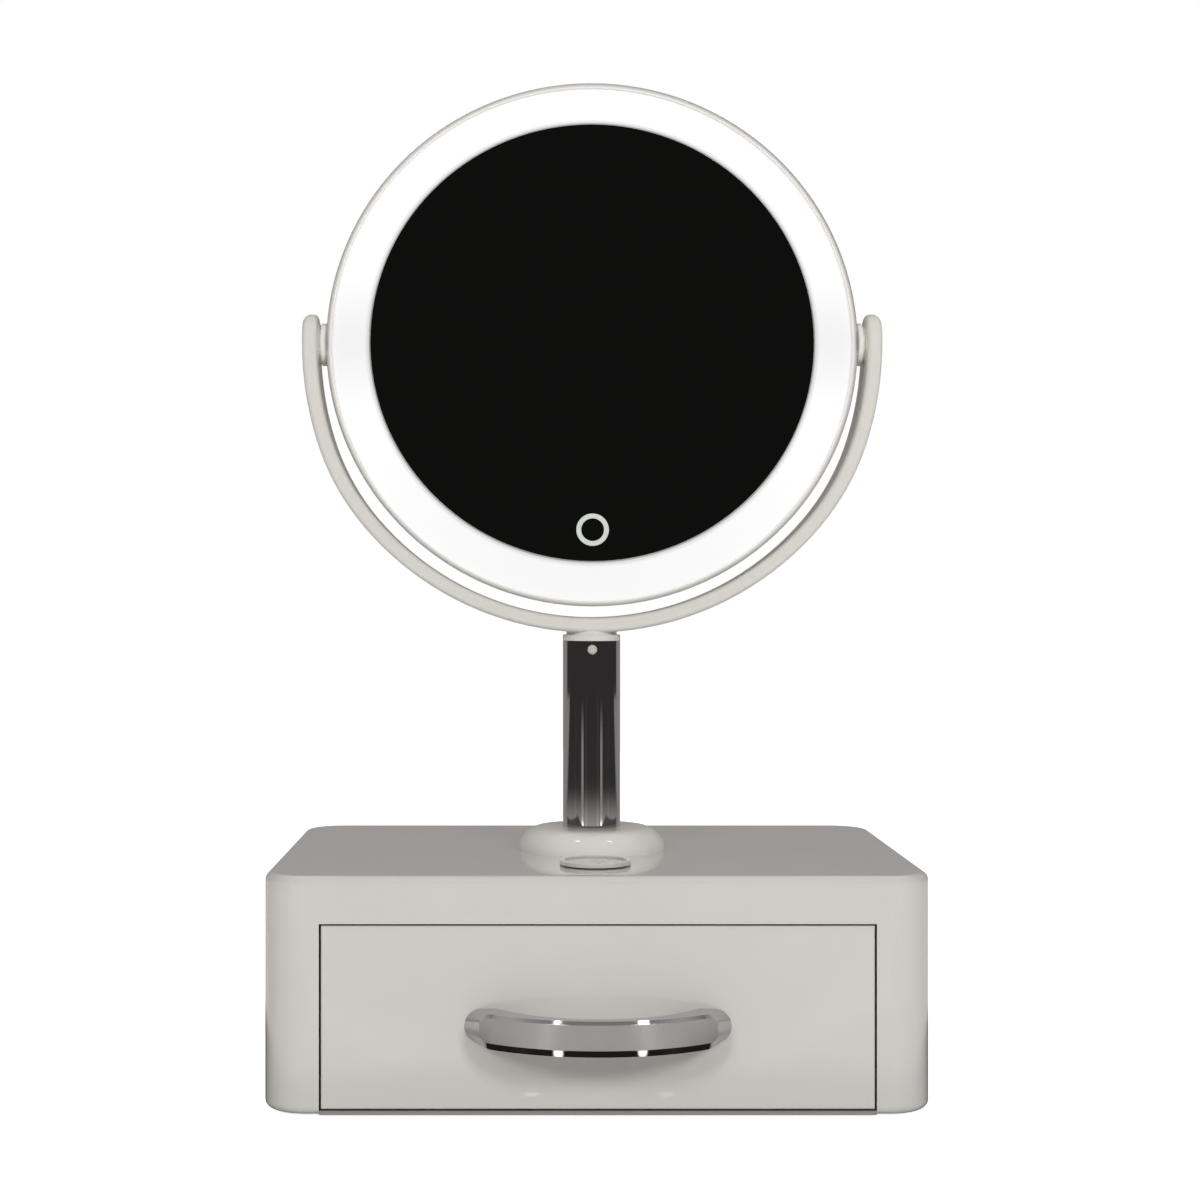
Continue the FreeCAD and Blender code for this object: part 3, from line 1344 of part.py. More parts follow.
def rear_cover():
    """Dished rear cover with a lip inside the rim, screw posts and the battery bay."""
    made = on_pivot(body("rear_cover"))
    outer = rear_radius
    lip_outer = rear_inner_radius - size.cover_lip_gap
    lip_inner = lip_outer - size.cover_lip
    flat = outer - size.cover_round
    back = cover_rear
    inside = back - size.cover_wall
    edge = rim_rear
    inner_edge = edge - size.cover_wall / 2
    profile = sketch(made, "XY_Plane", "CoverProfile")
    outline(
        profile,
        [(0, inside), (flat, inside), (lip_inner, inner_edge), (lip_inner, web_rear),
         (lip_outer, web_rear), (lip_outer, edge), (outer, edge), (flat, back), (0, back)],
        {1: (cover_arc(inside - inner_edge, lip_inner - flat), "right"),
         6: (cover_arc(back - edge, outer - flat), "left")},
    )
    revolve(made, profile, "Dish")
    centre = -size.bay_drop
    ledge = sketch(made, "XZ_Plane", "LedgePlan", -back)
    ledge_x = door_half_width + size.bay_wall
    ledge_z = door_half_height + size.bay_wall
    rectangle(ledge, -ledge_x, centre - ledge_z, ledge_x, centre + ledge_z)
    pad(made, ledge, "DoorLedge", size.door_thickness + size.bay_wall)
    bay = sketch(made, "XZ_Plane", "BayPlan", -back)
    bay_x = bay_width / 2 + size.bay_wall
    bay_z = bay_height / 2 + size.bay_wall
    rectangle(bay, -bay_x, centre - bay_z, bay_x, centre + bay_z)
    pad(made, bay, "BayBox", back - bay_bottom + size.bay_wall)
    post = sketch(made, "XZ_Plane", "ScrewPost", -web_rear)
    x, z = cover_screw_place()
    circle(post, size.cover_screw_post, x, z)
    pillar = pad(made, post, "Post", edge - web_rear + size.cover_wall / 2, backwards=True)
    ring_pattern(made, pillar, size.cover_screw_count, "Posts")
    inner_x = bay_width / 2
    inner_z = bay_height / 2
    space = sketch(made, "XZ_Plane", "BaySpace", -back)
    rectangle(space, -inner_x, centre - inner_z, inner_x, centre + inner_z)
    pocket(made, space, "BayHollow", back - bay_bottom, backwards=True)
    recess = sketch(made, "XZ_Plane", "DoorRecess", -back)
    rounded_rectangle(recess, door_half_width, door_half_height, centre, size.door_corner)
    pocket(made, recess, "DoorSeat", size.door_thickness, backwards=True)
    shank = sketch(made, "XZ_Plane", "ScrewShank", -web_rear)
    circle(shank, size.cover_screw_shank, x, z)
    drill = pocket(made, shank, "ShankHole", through=True)
    ring_pattern(made, drill, size.cover_screw_count, "ShankHoles")
    sink = sketch(made, "XZ_Plane", "ScrewSink", -web_rear - size.cover_screw_sink)
    circle(sink, size.cover_screw_head + size.cover_lip_gap * 2, x, z)
    counterbore = pocket(made, sink, "HeadHole", through=True)
    return ring_pattern(made, counterbore, size.cover_screw_count, "HeadHoles")


def rounded_rectangle(drawing, half_x, half_z, centre_z, radius):
    """Draw a rectangle with rounded corners, centred on the sketch's upright axis."""
    low = centre_z - half_z
    high = centre_z + half_z
    outline(
        drawing,
        [(-half_x + radius, low), (half_x - radius, low), (half_x, low + radius),
         (half_x, high - radius), (half_x - radius, high), (-half_x + radius, high),
         (-half_x, high - radius), (-half_x, low + radius)],
        {side: (radius, "left") for side in (1, 3, 5, 7)},
    )


def rear_screws():
    """Screws through the cover's posts into the rim's web."""
    made = on_pivot(body("rear_screws"))
    x, z = cover_screw_place()
    floor_of_sink = web_rear + size.cover_screw_sink
    shank = sketch(made, "XZ_Plane", "ShankSection", -floor_of_sink)
    circle(shank, size.cover_screw_shank, x, z)
    rod = pad(made, shank, "Shank", size.cover_screw_sink + size.cover_screw_bite)
    head = sketch(made, "XZ_Plane", "HeadSection", -floor_of_sink)
    circle(head, size.cover_screw_head, x, z)
    top = pad(made, head, "Head", size.cover_screw_head_height, backwards=True)
    pattern = made.newObject("PartDesign::PolarPattern", "Screws")
    pattern.Originals = [rod, top]
    pattern.Axis = (origin_plane(made, "Y_Axis"), [""])
    pattern.Angle = 360
    pattern.Occurrences = int(size.cover_screw_count.value)
    made.Tip = pattern
    return pattern


def cell_rows():
    """Height of each cell's centre."""
    count = int(size.cell_count.value)
    return [cell_pitch * (row - (count - 1) / 2) - size.bay_drop for row in range(count)]


def battery_cells():
    """AA cells lying side by side, every second one turned round."""
    made = on_pivot(body("battery_cells"))
    half = (size.cell_length + size.cell_cap) / 2
    depth = bay_bottom + size.cell_diameter / 2
    for row, z in enumerate(cell_rows()):
        facing = 1 if row % 2 == 0 else -1
        can = sketch(made, "YZ_Plane", f"Can{row}", half * -facing)
        circle(can, size.cell_diameter, depth, z)
        pad(made, can, f"CanPad{row}", size.cell_length, backwards=facing < 0)
        cap = sketch(made, "YZ_Plane", f"Cap{row}", half * facing)
        circle(cap, size.cell_cap_diameter, depth, z)
        pad(made, cap, f"CapPad{row}", size.cell_cap, backwards=facing > 0)
    return made


def battery_contacts():
    """Sprung contact plates at both ends of every cell."""
    made = on_pivot(body("battery_contacts"))
    depth = bay_bottom + size.cell_diameter / 2
    half_plate = size.contact_side / 2
    for side in (-1, 1):
        wall = bay_width / 2 * side
        plates = sketch(made, "YZ_Plane", f"Plates{side + 2}", wall)
        bosses = sketch(made, "YZ_Plane", f"Bosses{side + 2}", wall)
        for z in cell_rows():
            rectangle(plates, depth - half_plate, z - half_plate, depth + half_plate, z + half_plate)
            circle(bosses, size.contact_boss_diameter, depth, z)
        pad(made, plates, f"PlatePads{side + 2}", size.contact_plate, backwards=side > 0)
        pad(made, bosses, f"BossPads{side + 2}", size.contact_depth, backwards=side > 0)
    return made


def battery_door():
    """Lift-off door flush in the rear cover, with grip ridges and a finger notch."""
    made = on_pivot(body("battery_door"))
    centre = -size.bay_drop
    gap = size.door_gap
    plan = sketch(made, "XZ_Plane", "DoorPlan", -door_inner_face)
    rounded_rectangle(plan, door_half_width - gap, door_half_height - gap, centre, size.door_corner - gap)
    pad(made, plan, "Plate", size.door_thickness, backwards=True)
    top = centre + door_half_height - gap
    notch = sketch(made, "XZ_Plane", "FingerNotch", -cover_rear)
    half = size.notch_width / 2
    rectangle(notch, -half, top - size.notch_height, half, top + gap)
    pocket(made, notch, "Notch", size.door_thickness / 2, backwards=True)
    ridge = sketch(made, "XZ_Plane", "GripRidge", -cover_rear)
    ridge_half = size.door_ridge_length / 2
    first = top - size.notch_height - size.door_ridge_pitch
    rectangle(ridge, -ridge_half, first - size.door_ridge_width, ridge_half, first)
    bar = pad(made, ridge, "Ridge", size.door_ridge, backwards=True)
    rows = row_pattern(made, bar, "Z_Axis", size.door_ridge_pitch, size.door_ridge_count.value, "Ridges")
    rows.Reversed = True
    return rows


# ---------------------------------------------------------------- assembly

def build():
    """Make every sub-part of the stand, the drawer and the mirror."""
    cabinet_case()
    bottom_panel()
    panel_screws()
    base_felt()
    drawer_runner("drawer_runner_left", -1)
    drawer_runner("drawer_runner_right", 1)
    runner_screws()
    drawer_stop()
    post_collar()
    post_tube()
    post_plug()
    post_bolt()
    bolt_washer()
    badge_disc()
    yoke()
    friction_washer("friction_washer_left", -1)
    friction_washer("friction_washer_right", 1)
    pivot_cap("pivot_cap_left", -1)
    pivot_cap("pivot_cap_right", 1)
    button_spring()
    lock_button()
    drawer_front()
    drawer_side("drawer_side_left", -1)
    drawer_side("drawer_side_right", 1)
    drawer_back()
    drawer_bottom_panel()
    drawer_lining()
    handle()
    handle_screws()
    head_rim()
    mirror_glass()
    touch_ring()
    touch_sensor()
    diffuser_ring()
    glass_carrier()
    led_board()
    led_chips()
    control_board()
    rear_cover()
    rear_screws()
    battery_cells()
    battery_contacts()
    pivot_screw("pivot_screw_left", -1)
    pivot_screw("pivot_screw_right", 1)
    pivot_insert("pivot_insert_left", -1)
    pivot_insert("pivot_insert_right", 1)
    battery_door()


def check_and_export():
    """Stop if anything failed, otherwise write one STEP file for each sub-part."""
    document.recompute()
    for thing in document.Objects:
        if "Invalid" in thing.State or "Error" in thing.State:
            raise RuntimeError(f"{thing.Label} is {thing.State}")
    for part in sub_parts:
        if part.Shape.isNull() or not part.Shape.isValid():
            raise RuntimeError(f"{part.Label} has no valid shape")
    os.makedirs("parts", exist_ok=True)
    for part in sub_parts:
        part.Shape.exportStep(os.path.join("parts", f"{part.Label}.step"))


build()
check_and_export()
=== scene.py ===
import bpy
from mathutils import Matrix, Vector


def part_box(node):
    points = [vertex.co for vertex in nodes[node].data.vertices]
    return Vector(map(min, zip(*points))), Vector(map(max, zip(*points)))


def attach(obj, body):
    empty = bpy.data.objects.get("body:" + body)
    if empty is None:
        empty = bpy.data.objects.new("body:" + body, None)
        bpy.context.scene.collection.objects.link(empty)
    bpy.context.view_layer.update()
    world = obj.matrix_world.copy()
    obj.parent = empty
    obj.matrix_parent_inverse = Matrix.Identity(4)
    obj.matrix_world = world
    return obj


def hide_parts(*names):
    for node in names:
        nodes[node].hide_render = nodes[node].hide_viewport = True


bl_info = {
    "name": "Lit Vanity Mirror on a Drawer Case",
    "version": (1, 0, 0),
    "blender": (4, 5, 0),
    "location": "View3D > Sidebar > Vanity Mirror",
    "description": "Finishes, fasteners and lighting for a tilting make-up mirror on a drawer case",
    "category": "Object",
}

import math

import bmesh
import bpy
from mathutils import Vector

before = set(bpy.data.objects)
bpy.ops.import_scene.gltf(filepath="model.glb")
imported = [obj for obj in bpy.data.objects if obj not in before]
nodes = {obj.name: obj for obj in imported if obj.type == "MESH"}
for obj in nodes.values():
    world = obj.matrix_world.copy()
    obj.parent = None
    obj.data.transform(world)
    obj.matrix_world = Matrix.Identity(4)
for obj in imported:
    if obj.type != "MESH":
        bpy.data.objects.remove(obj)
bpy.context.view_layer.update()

MM = 0.001
LEAN = math.radians(5.5)  # how far the mirror leans back at rest
PIVOT_HEIGHT = sum(corner.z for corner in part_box("friction_washer_left")) / 2
HEAD_FORWARD = Vector((0, -math.cos(LEAN), math.sin(LEAN)))  # the way the mirror looks
GLASS_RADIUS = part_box("mirror_glass")[1].x
HEAD_FRONT = 7.2 * MM  # from the tilt axis to the front of the rim
RIM_RADIUS = 110.5 * MM
BOW_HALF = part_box("handle")[1].x
BOW_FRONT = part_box("handle")[0].y
BOW_RISE = 21.7 * MM  # how far the arc of the handle's face stands out over its whole length
CAP_HEIGHT = 1.0 * MM  # the raised cap of a dry cell

# The collar's shoulder from its foot to its top: radius and height in millimetres
SHOULDER = ((30.5, 0.0), (30.5, 1.4), (30.3, 2.6), (29.8, 3.9), (29.0, 5.2), (27.9, 6.5), (26.6, 7.6),
            (25.1, 8.5), (23.3, 9.1), (21.2, 9.4), (18.5, 9.5), (15.0, 9.55))
# For each set of screws: the body that carries it, the way its heads look, and in millimetres the width and
# height of the head and the width of the thread
SCREWS = {
    "panel_screws": ("stand", Vector((0, 0, -1)), 5.0, 1.1, 2.6),
    "runner_screws": ("stand", Vector((1, 0, 0)), 4.4, 2.0, 2.4),
    "handle_screws": ("drawer", Vector((0, 1, 0)), 7.6, 2.4, 4.0),
    "rear_screws": ("head", -HEAD_FORWARD, 4.8, 1.6, 2.5),
}


# ---------------------------------------------------------------- small helpers

def paint(code):
    """A colour written as an sRGB hex value, turned to linear light."""
    channels = [int(code[place:place + 2], 16) / 255 for place in (1, 3, 5)]
    linear = [c / 12.92 if c <= 0.04045 else ((c + 0.055) / 1.055) ** 2.4 for c in channels]
    return (*linear, 1.0)


def dimmed(colour, share):
    """The same colour with this share of its light."""
    return (*(channel * share for channel in tuple(colour)[:3]), 1)


def detail(size):
    """Noise scale that gives detail of this size, in millimetres."""
    return 1 / (size * MM)


def feed(tree, node, inputs):
    """Sets a node's inputs or links them. A node stands for its first output, a list for several links."""
    for key, value in inputs.items():
        for item in value if isinstance(value, list) else [value]:
            if isinstance(item, bpy.types.Node):
                item = item.outputs[0]
            if isinstance(item, bpy.types.NodeSocket):
                tree.links.new(item, node.inputs[key])
            else:
                node.inputs[key].default_value = item


def add(tree, kind, inputs=None, **settings):
    """Adds a node, gives it its settings and feeds it."""
    made = tree.nodes.new(kind)
    for name, value in settings.items():
        setattr(made, name, value)
    feed(tree, made, inputs or {})
    return made


def finish_of(name, colour, roughness, metallic=0.0):
    """A new material with its shader, and the place on the object that its patterns read."""
    material = bpy.data.materials.new(name)
    material.use_nodes = True
    tree = material.node_tree
    tree.nodes.clear()
    shader = add(tree, "ShaderNodeBsdfPrincipled", {
        "Base Color": colour, "Roughness": roughness, "Metallic": metallic})
    add(tree, "ShaderNodeOutputMaterial", {"Surface": shader})
    place = add(tree, "ShaderNodeTexCoord").outputs["Object"]
    return material, tree, shader, place


def mottle(tree, shader, place, first, second, size, stretch=(1, 1, 1)):
    """Lets the body colour drift between two shades in patches of this size, in millimetres."""
    laid = add(tree, "ShaderNodeMapping", {"Vector": place, "Scale": stretch})
    noise = add(tree, "ShaderNodeTexNoise", {"Vector": laid, "Scale": detail(size), "Detail": 4.0})
    sharp = add(tree, "ShaderNodeMapRange", {
        "Value": noise.outputs["Fac"], "From Min": 0.35, "From Max": 0.65})
    blend = add(tree, "ShaderNodeMix", {0: sharp, 6: first, 7: second}, data_type="RGBA")
    feed(tree, shader, {"Base Color": blend.outputs[2]})
    return blend.outputs[2]


def uneven(tree, shader, place, size, depth, strength, octaves=2.0, swirl=0.0):
    """Fine uneven relief, with bumps of this size and depth, in millimetres."""
    noise = add(tree, "ShaderNodeTexNoise", {
        "Vector": place, "Scale": detail(size), "Detail": octaves, "Distortion": swirl})
    bump = add(tree, "ShaderNodeBump", {
        "Height": noise.outputs["Fac"], "Distance": depth * MM, "Strength": strength})
    feed(tree, shader, {"Normal": bump})


def cloudy_gloss(tree, shader, place, low, high, size):
    """Lets the roughness vary in patches of this size, in millimetres, as handling and polishing leave it."""
    noise = add(tree, "ShaderNodeTexNoise", {"Vector": place, "Scale": detail(size), "Detail": 3.0})
    spread = add(tree, "ShaderNodeMapRange", {
        "Value": noise.outputs["Fac"], "From Min": 0.3, "From Max": 0.7, "To Min": low, "To Max": high})
    feed(tree, shader, {"Roughness": spread})


def wear(material, *names):
    """Gives CAD nodes their finish."""
    for name in names:
        slots = nodes[name].data.materials
        slots.clear()
        slots.append(material)
        for face in nodes[name].data.polygons:
            face.material_index = 0


# ---------------------------------------------------------------- finishes

def lacquer_finish(look):
    """Polyester lacquer, sprayed on fibreboard and polished: an even warm grey-white under a clear gloss,
    with the faint orange peel that makes reflections swim."""
    material, tree, shader, place = finish_of("polished_lacquer", look.lacquer, roughness=0.16)
    mottle(tree, shader, place, tuple(look.lacquer), dimmed(look.lacquer, 0.975), size=60)
    cloudy_gloss(tree, shader, place, low=0.12, high=0.2, size=35)
    uneven(tree, shader, place, size=look.peel / MM, depth=0.02, strength=0.35, octaves=1.0)
    feed(tree, shader, {"IOR": 1.5, "Coat Weight": 1.0, "Coat Roughness": 0.04})
    return material


def floor_board_finish(look):
    """Hardboard with a painted front edge: brown pressed fibre below, and in front a grey darker than the
    lacquer, a painted shade for the strip under the drawer.
    """
    material, tree, shader, place = finish_of("hardboard_floor", paint("#7A5A3C"), roughness=0.55)
    fibre = mottle(tree, shader, place, paint("#86653F"), paint("#6A4C30"), size=1.6, stretch=(1, 1.6, 1))
    axes = add(tree, "ShaderNodeSeparateXYZ", {"Vector": place})
    # painted shade: the front edge is painted a grey darker than the lacquer, for the shaded strip under the
    # drawer front
    paint_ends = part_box("bottom_panel")[0].y + 2.2 * MM
    front = add(tree, "ShaderNodeMath", {0: axes.outputs["Y"], 1: paint_ends}, operation="LESS_THAN")
    edge_shaded = add(tree, "ShaderNodeMix", {0: front, 6: fibre, 7: tuple(look.edge)}, data_type="RGBA")
    feed(tree, shader, {"Base Color": edge_shaded.outputs[2]})
    gloss = add(tree, "ShaderNodeMapRange", {"Value": front, "To Min": 0.6, "To Max": 0.2})
    feed(tree, shader, {"Roughness": gloss})
    # fibres, drawn coarser so that they show
    uneven(tree, shader, place, size=0.9, depth=0.05, strength=0.4, octaves=4.0)
    return material


def birch_finish(look, name, along):
    """Birch board, planed and sealed: pale tan with long grain and short darker flecks."""
    material, tree, shader, place = finish_of(name, tuple(look.birch), roughness=0.45)
    long_grain, long_fleck = (
        tuple(share if axis == along else 1.0 for axis in "XYZ") for share in (0.07, 0.12))
    grain = mottle(tree, shader, place, tuple(look.birch), dimmed(look.birch, 0.72),
                   size=2.4, stretch=long_grain)
    laid = add(tree, "ShaderNodeMapping", {"Vector": place, "Scale": long_fleck})
    fleck = add(tree, "ShaderNodeTexVoronoi", {"Vector": laid, "Scale": detail(1.7)})
    spot = add(tree, "ShaderNodeMapRange", {
        "Value": fleck.outputs["Distance"], "From Min": 0.0, "From Max": 0.16, "To Min": 0.35, "To Max": 0.0})
    flecked = add(tree, "ShaderNodeMix", {0: spot, 6: grain, 7: paint("#8A6238")}, data_type="RGBA")
    feed(tree, shader, {"Base Color": flecked.outputs[2]})
    # pores, drawn wider so that they show
    uneven(tree, shader, laid, size=0.8, depth=0.03, strength=0.4, octaves=3.0)
    return material


def felt_finish(name, colour):
    """Needled wool felt: no shine, a fuzzy edge of light, and short fibres lying every way."""
    material, tree, shader, place = finish_of(name, colour, roughness=0.95)
    mottle(tree, shader, place, colour, dimmed(colour, 0.6), size=1.1)
    # fibres, drawn thick enough to show
    uneven(tree, shader, place, size=0.7, depth=0.25, strength=0.6, octaves=6.0, swirl=1.6)
    feed(tree, shader, {"Sheen Weight": 0.35, "Sheen Roughness": 0.5})
    return material


def plastic_finish(name, colour, roughness):
    """Moulded ABS off a polished tool: solid off-white, a soft gloss and barely any texture."""
    material, tree, shader, place = finish_of(name, colour, roughness)
    mottle(tree, shader, place, colour, dimmed(colour, 0.98), size=22)
    cloudy_gloss(tree, shader, place, low=roughness * 0.85, high=roughness * 1.2, size=12)
    # the mould's grain, drawn coarser so that it shows
    uneven(tree, shader, place, size=0.8, depth=0.006, strength=0.3)
    feed(tree, shader, {"IOR": 1.54})
    return material


def tube_finish(look):
    """Drawn steel tube, polished and chromed: a dark mirror that draws each light into an upright streak."""
    material, tree, shader, place = finish_of("chromed_tube", look.chrome, roughness=0.07, metallic=1.0)
    fine = add(tree, "ShaderNodeMapping", {"Vector": place, "Scale": (1, 1, 30)})
    lines = add(tree, "ShaderNodeTexNoise", {"Vector": fine, "Scale": detail(5), "Detail": 3.0})
    haze = add(tree, "ShaderNodeMapRange", {"Value": lines.outputs["Fac"], "To Min": 0.03, "To Max": 0.07})
    feed(tree, shader, {"Roughness": haze})
    return material


def handle_finish(look):
    """Die-cast zinc, chromed: the bevels are bright, and the bowed face has the softer shine of satin."""
    polished = 0.05
    material, tree, shader, place = finish_of(
        "chromed_casting", look.chrome, roughness=polished, metallic=1.0)
    radius, centre = bow_circle(BOW_FRONT, BOW_HALF, BOW_RISE)
    from_axis = add(tree, "ShaderNodeMapping", {
        "Vector": place, "Location": (0, -centre, 0), "Scale": (1, 1, 0)})
    reach = add(tree, "ShaderNodeVectorMath", {0: from_axis}, operation="LENGTH")
    face = add(tree, "ShaderNodeMath", {
        0: reach.outputs["Value"], 1: radius - 0.1 * MM}, operation="GREATER_THAN")
    haze = add(tree, "ShaderNodeTexNoise", {"Vector": place, "Scale": detail(9), "Detail": 3.0})
    satin = add(tree, "ShaderNodeMapRange", {
        "Value": haze.outputs["Fac"], "To Min": look.satin * 0.8, "To Max": look.satin * 1.2})
    gloss = add(tree, "ShaderNodeMix", {0: face, 2: polished, 3: satin})
    feed(tree, shader, {"Roughness": gloss})
    return material


def badge_finish(look):
    """Stamped zinc under pearl lacquer: a smooth pale rim round a middle whose small dints glitter, with
    painted shade in the dints, and a dark brown painted contact shadow along its foot."""
    material, tree, shader, place = finish_of(
        "pearl_lacquered_stamping", look.pearl, roughness=0.16, metallic=0.35)
    low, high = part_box("badge_disc")
    middle = (low + high) / 2
    centred = add(tree, "ShaderNodeMapping", {
        "Vector": place, "Location": (-middle.x, -middle.y, 0), "Scale": (1, 1, 0)})
    reach = add(tree, "ShaderNodeVectorMath", {0: centred}, operation="LENGTH")
    rim_starts = (high.x - low.x) / 2 - 1.9 * MM
    inside = add(tree, "ShaderNodeMath", {0: reach.outputs["Value"], 1: rim_starts}, operation="LESS_THAN")
    laid = add(tree, "ShaderNodeMapping", {"Vector": place, "Scale": (1, 0.6, 1)})
    dints = add(tree, "ShaderNodeTexVoronoi", {"Vector": laid, "Scale": detail(1.6)}, feature="SMOOTH_F1")
    stamped = add(tree, "ShaderNodeMath", {0: dints.outputs["Distance"], 1: inside}, operation="MULTIPLY")
    bump = add(tree, "ShaderNodeBump", {"Height": stamped, "Distance": 0.7 * MM, "Strength": 1.0})
    feed(tree, shader, {"Normal": bump})
    # painted shade: the hollows of the dints are painted a darker grey-brown
    dint_shade = add(tree, "ShaderNodeMapRange", {
        "Value": stamped, "From Min": 0.25, "From Max": 0.6, "To Min": 0.0, "To Max": 1.0})
    shaded = add(tree, "ShaderNodeMix", {
        0: dint_shade, 6: tuple(look.pearl), 7: paint("#8F8980")}, data_type="RGBA")
    axes = add(tree, "ShaderNodeSeparateXYZ", {"Vector": place})
    # painted shadow: a dark brown band along the lowest 0.45 mm of the plate's side, for the contact shadow
    # at its foot
    foot = add(tree, "ShaderNodeMath", {0: axes.outputs["Z"], 1: low.z + 0.45 * MM}, operation="LESS_THAN")
    contact_shadowed = add(tree, "ShaderNodeMix", {
        0: foot, 6: shaded.outputs[2], 7: paint("#3B2E25")}, data_type="RGBA")
    feed(tree, shader, {"Base Color": contact_shadowed.outputs[2], "Coat Weight": 1.0})
    return material


def zinc_finish():
    """Zinc-plated steel: grey with a blue cast, hazy rather than bright."""
    material, tree, shader, place = finish_of(
        "zinc_plated_steel", paint("#B9BDC2"), roughness=0.32, metallic=1.0)
    mottle(tree, shader, place, paint("#BEC2C6"), paint("#A3A8B0"), size=1.5)
    cloudy_gloss(tree, shader, place, low=0.24, high=0.42, size=1.2)
    return material


def spring_finish():
    """Blued spring steel: dark, thin and slightly oiled."""
    material, tree, shader, place = finish_of("spring_steel", paint("#6E7278"), roughness=0.28, metallic=1.0)
    cloudy_gloss(tree, shader, place, low=0.22, high=0.36, size=2)
    return material


def brass_finish():
    """Turned brass: yellow, with the slight unevenness that a lathe tool leaves."""
    material, tree, shader, place = finish_of("turned_brass", paint("#D2B26A"), roughness=0.24, metallic=1.0)
    # drawn coarser than the tool's marks so that it shows
    uneven(tree, shader, place, size=0.6, depth=0.01, strength=0.4)
    return material


def nylon_finish():
    """Natural nylon: milky, waxy and a little see-through at thin edges."""
    material, tree, shader, place = finish_of("natural_nylon", paint("#E4E0D3"), roughness=0.38)
    mottle(tree, shader, place, paint("#E8E4D8"), paint("#D9D3C2"), size=7)
    feed(tree, shader, {
        "Subsurface Weight": 0.2, "Subsurface Radius": (0.9 * MM, 0.8 * MM, 0.6 * MM),
        "Subsurface Scale": 1.0, "IOR": 1.53})
    return material


def head_level(tree, place):
    """Where a place lies on the leaning mirror: its radius round the middle of the face, its height as a
    share of that radius, and its depth."""
    centred = add(tree, "ShaderNodeMapping", {"Vector": place, "Location": (0, 0, -PIVOT_HEIGHT)})
    upright = add(tree, "ShaderNodeVectorRotate", {"Vector": centred, "Angle": LEAN}, rotation_type="X_AXIS")
    axes = add(tree, "ShaderNodeSeparateXYZ", {"Vector": upright})
    across = add(tree, "ShaderNodeCombineXYZ", {"X": axes.outputs["X"], "Y": axes.outputs["Z"]})
    reach = add(tree, "ShaderNodeVectorMath", {0: across}, operation="LENGTH")
    rise = add(tree, "ShaderNodeMath", {0: axes.outputs["Z"], 1: reach.outputs["Value"]}, operation="DIVIDE")
    return {"radius": reach.outputs["Value"], "rise": rise, "depth": axes.outputs["Y"]}


def glass_finish(look):
    """Silvered float glass: an untinted mirror, a little paler along its ground edge."""
    material, tree, shader, place = finish_of("silvered_glass", look.silver, roughness=0.015, metallic=1.0)
    feed(tree, shader, {"Coat Weight": 1.0, "Coat Roughness": 0.01})
    edge = add(tree, "ShaderNodeMath", {
        0: head_level(tree, place)["radius"], 1: GLASS_RADIUS - 0.4 * MM}, operation="GREATER_THAN")
    ground = add(tree, "ShaderNodeMapRange", {"Value": edge, "To Min": 0.015, "To Max": 0.35})
    feed(tree, shader, {"Roughness": ground})
    return material


def opal_finish(look):
    """Opal polycarbonate lit from behind: an even white glow, weaker beside the pivots, below, and where the
    glass covers its inner wall."""
    material, tree, shader, place = finish_of("lit_opal", paint("#A8A8AA"), roughness=0.35)
    level = head_level(tree, place)
    side = add(tree, "ShaderNodeMath", {0: level["rise"]}, operation="ABSOLUTE")
    pivots = add(tree, "ShaderNodeMapRange", {
        "Value": side, "From Min": 0.0, "From Max": 0.35, "To Min": 0.8, "To Max": 1.0},
        interpolation_type="SMOOTHSTEP")
    below = add(tree, "ShaderNodeMapRange", {
        "Value": level["rise"], "From Min": -1.0, "From Max": -0.4, "To Min": 0.88, "To Max": 1.0})
    covered = add(tree, "ShaderNodeMapRange", {
        "Value": level["radius"], "From Min": GLASS_RADIUS, "From Max": GLASS_RADIUS + 2.0 * MM,
        "To Min": 0.4, "To Max": 1.0})
    power = add(tree, "ShaderNodeMath", {0: pivots, 1: below}, operation="MULTIPLY")
    faded = add(tree, "ShaderNodeMath", {0: power, 1: covered}, operation="MULTIPLY")
    given = add(tree, "ShaderNodeMath", {0: faded, 1: look.glow}, operation="MULTIPLY")
    feed(tree, shader, {"Emission Strength": given, "Emission Color": tuple(look.light)})
    return material


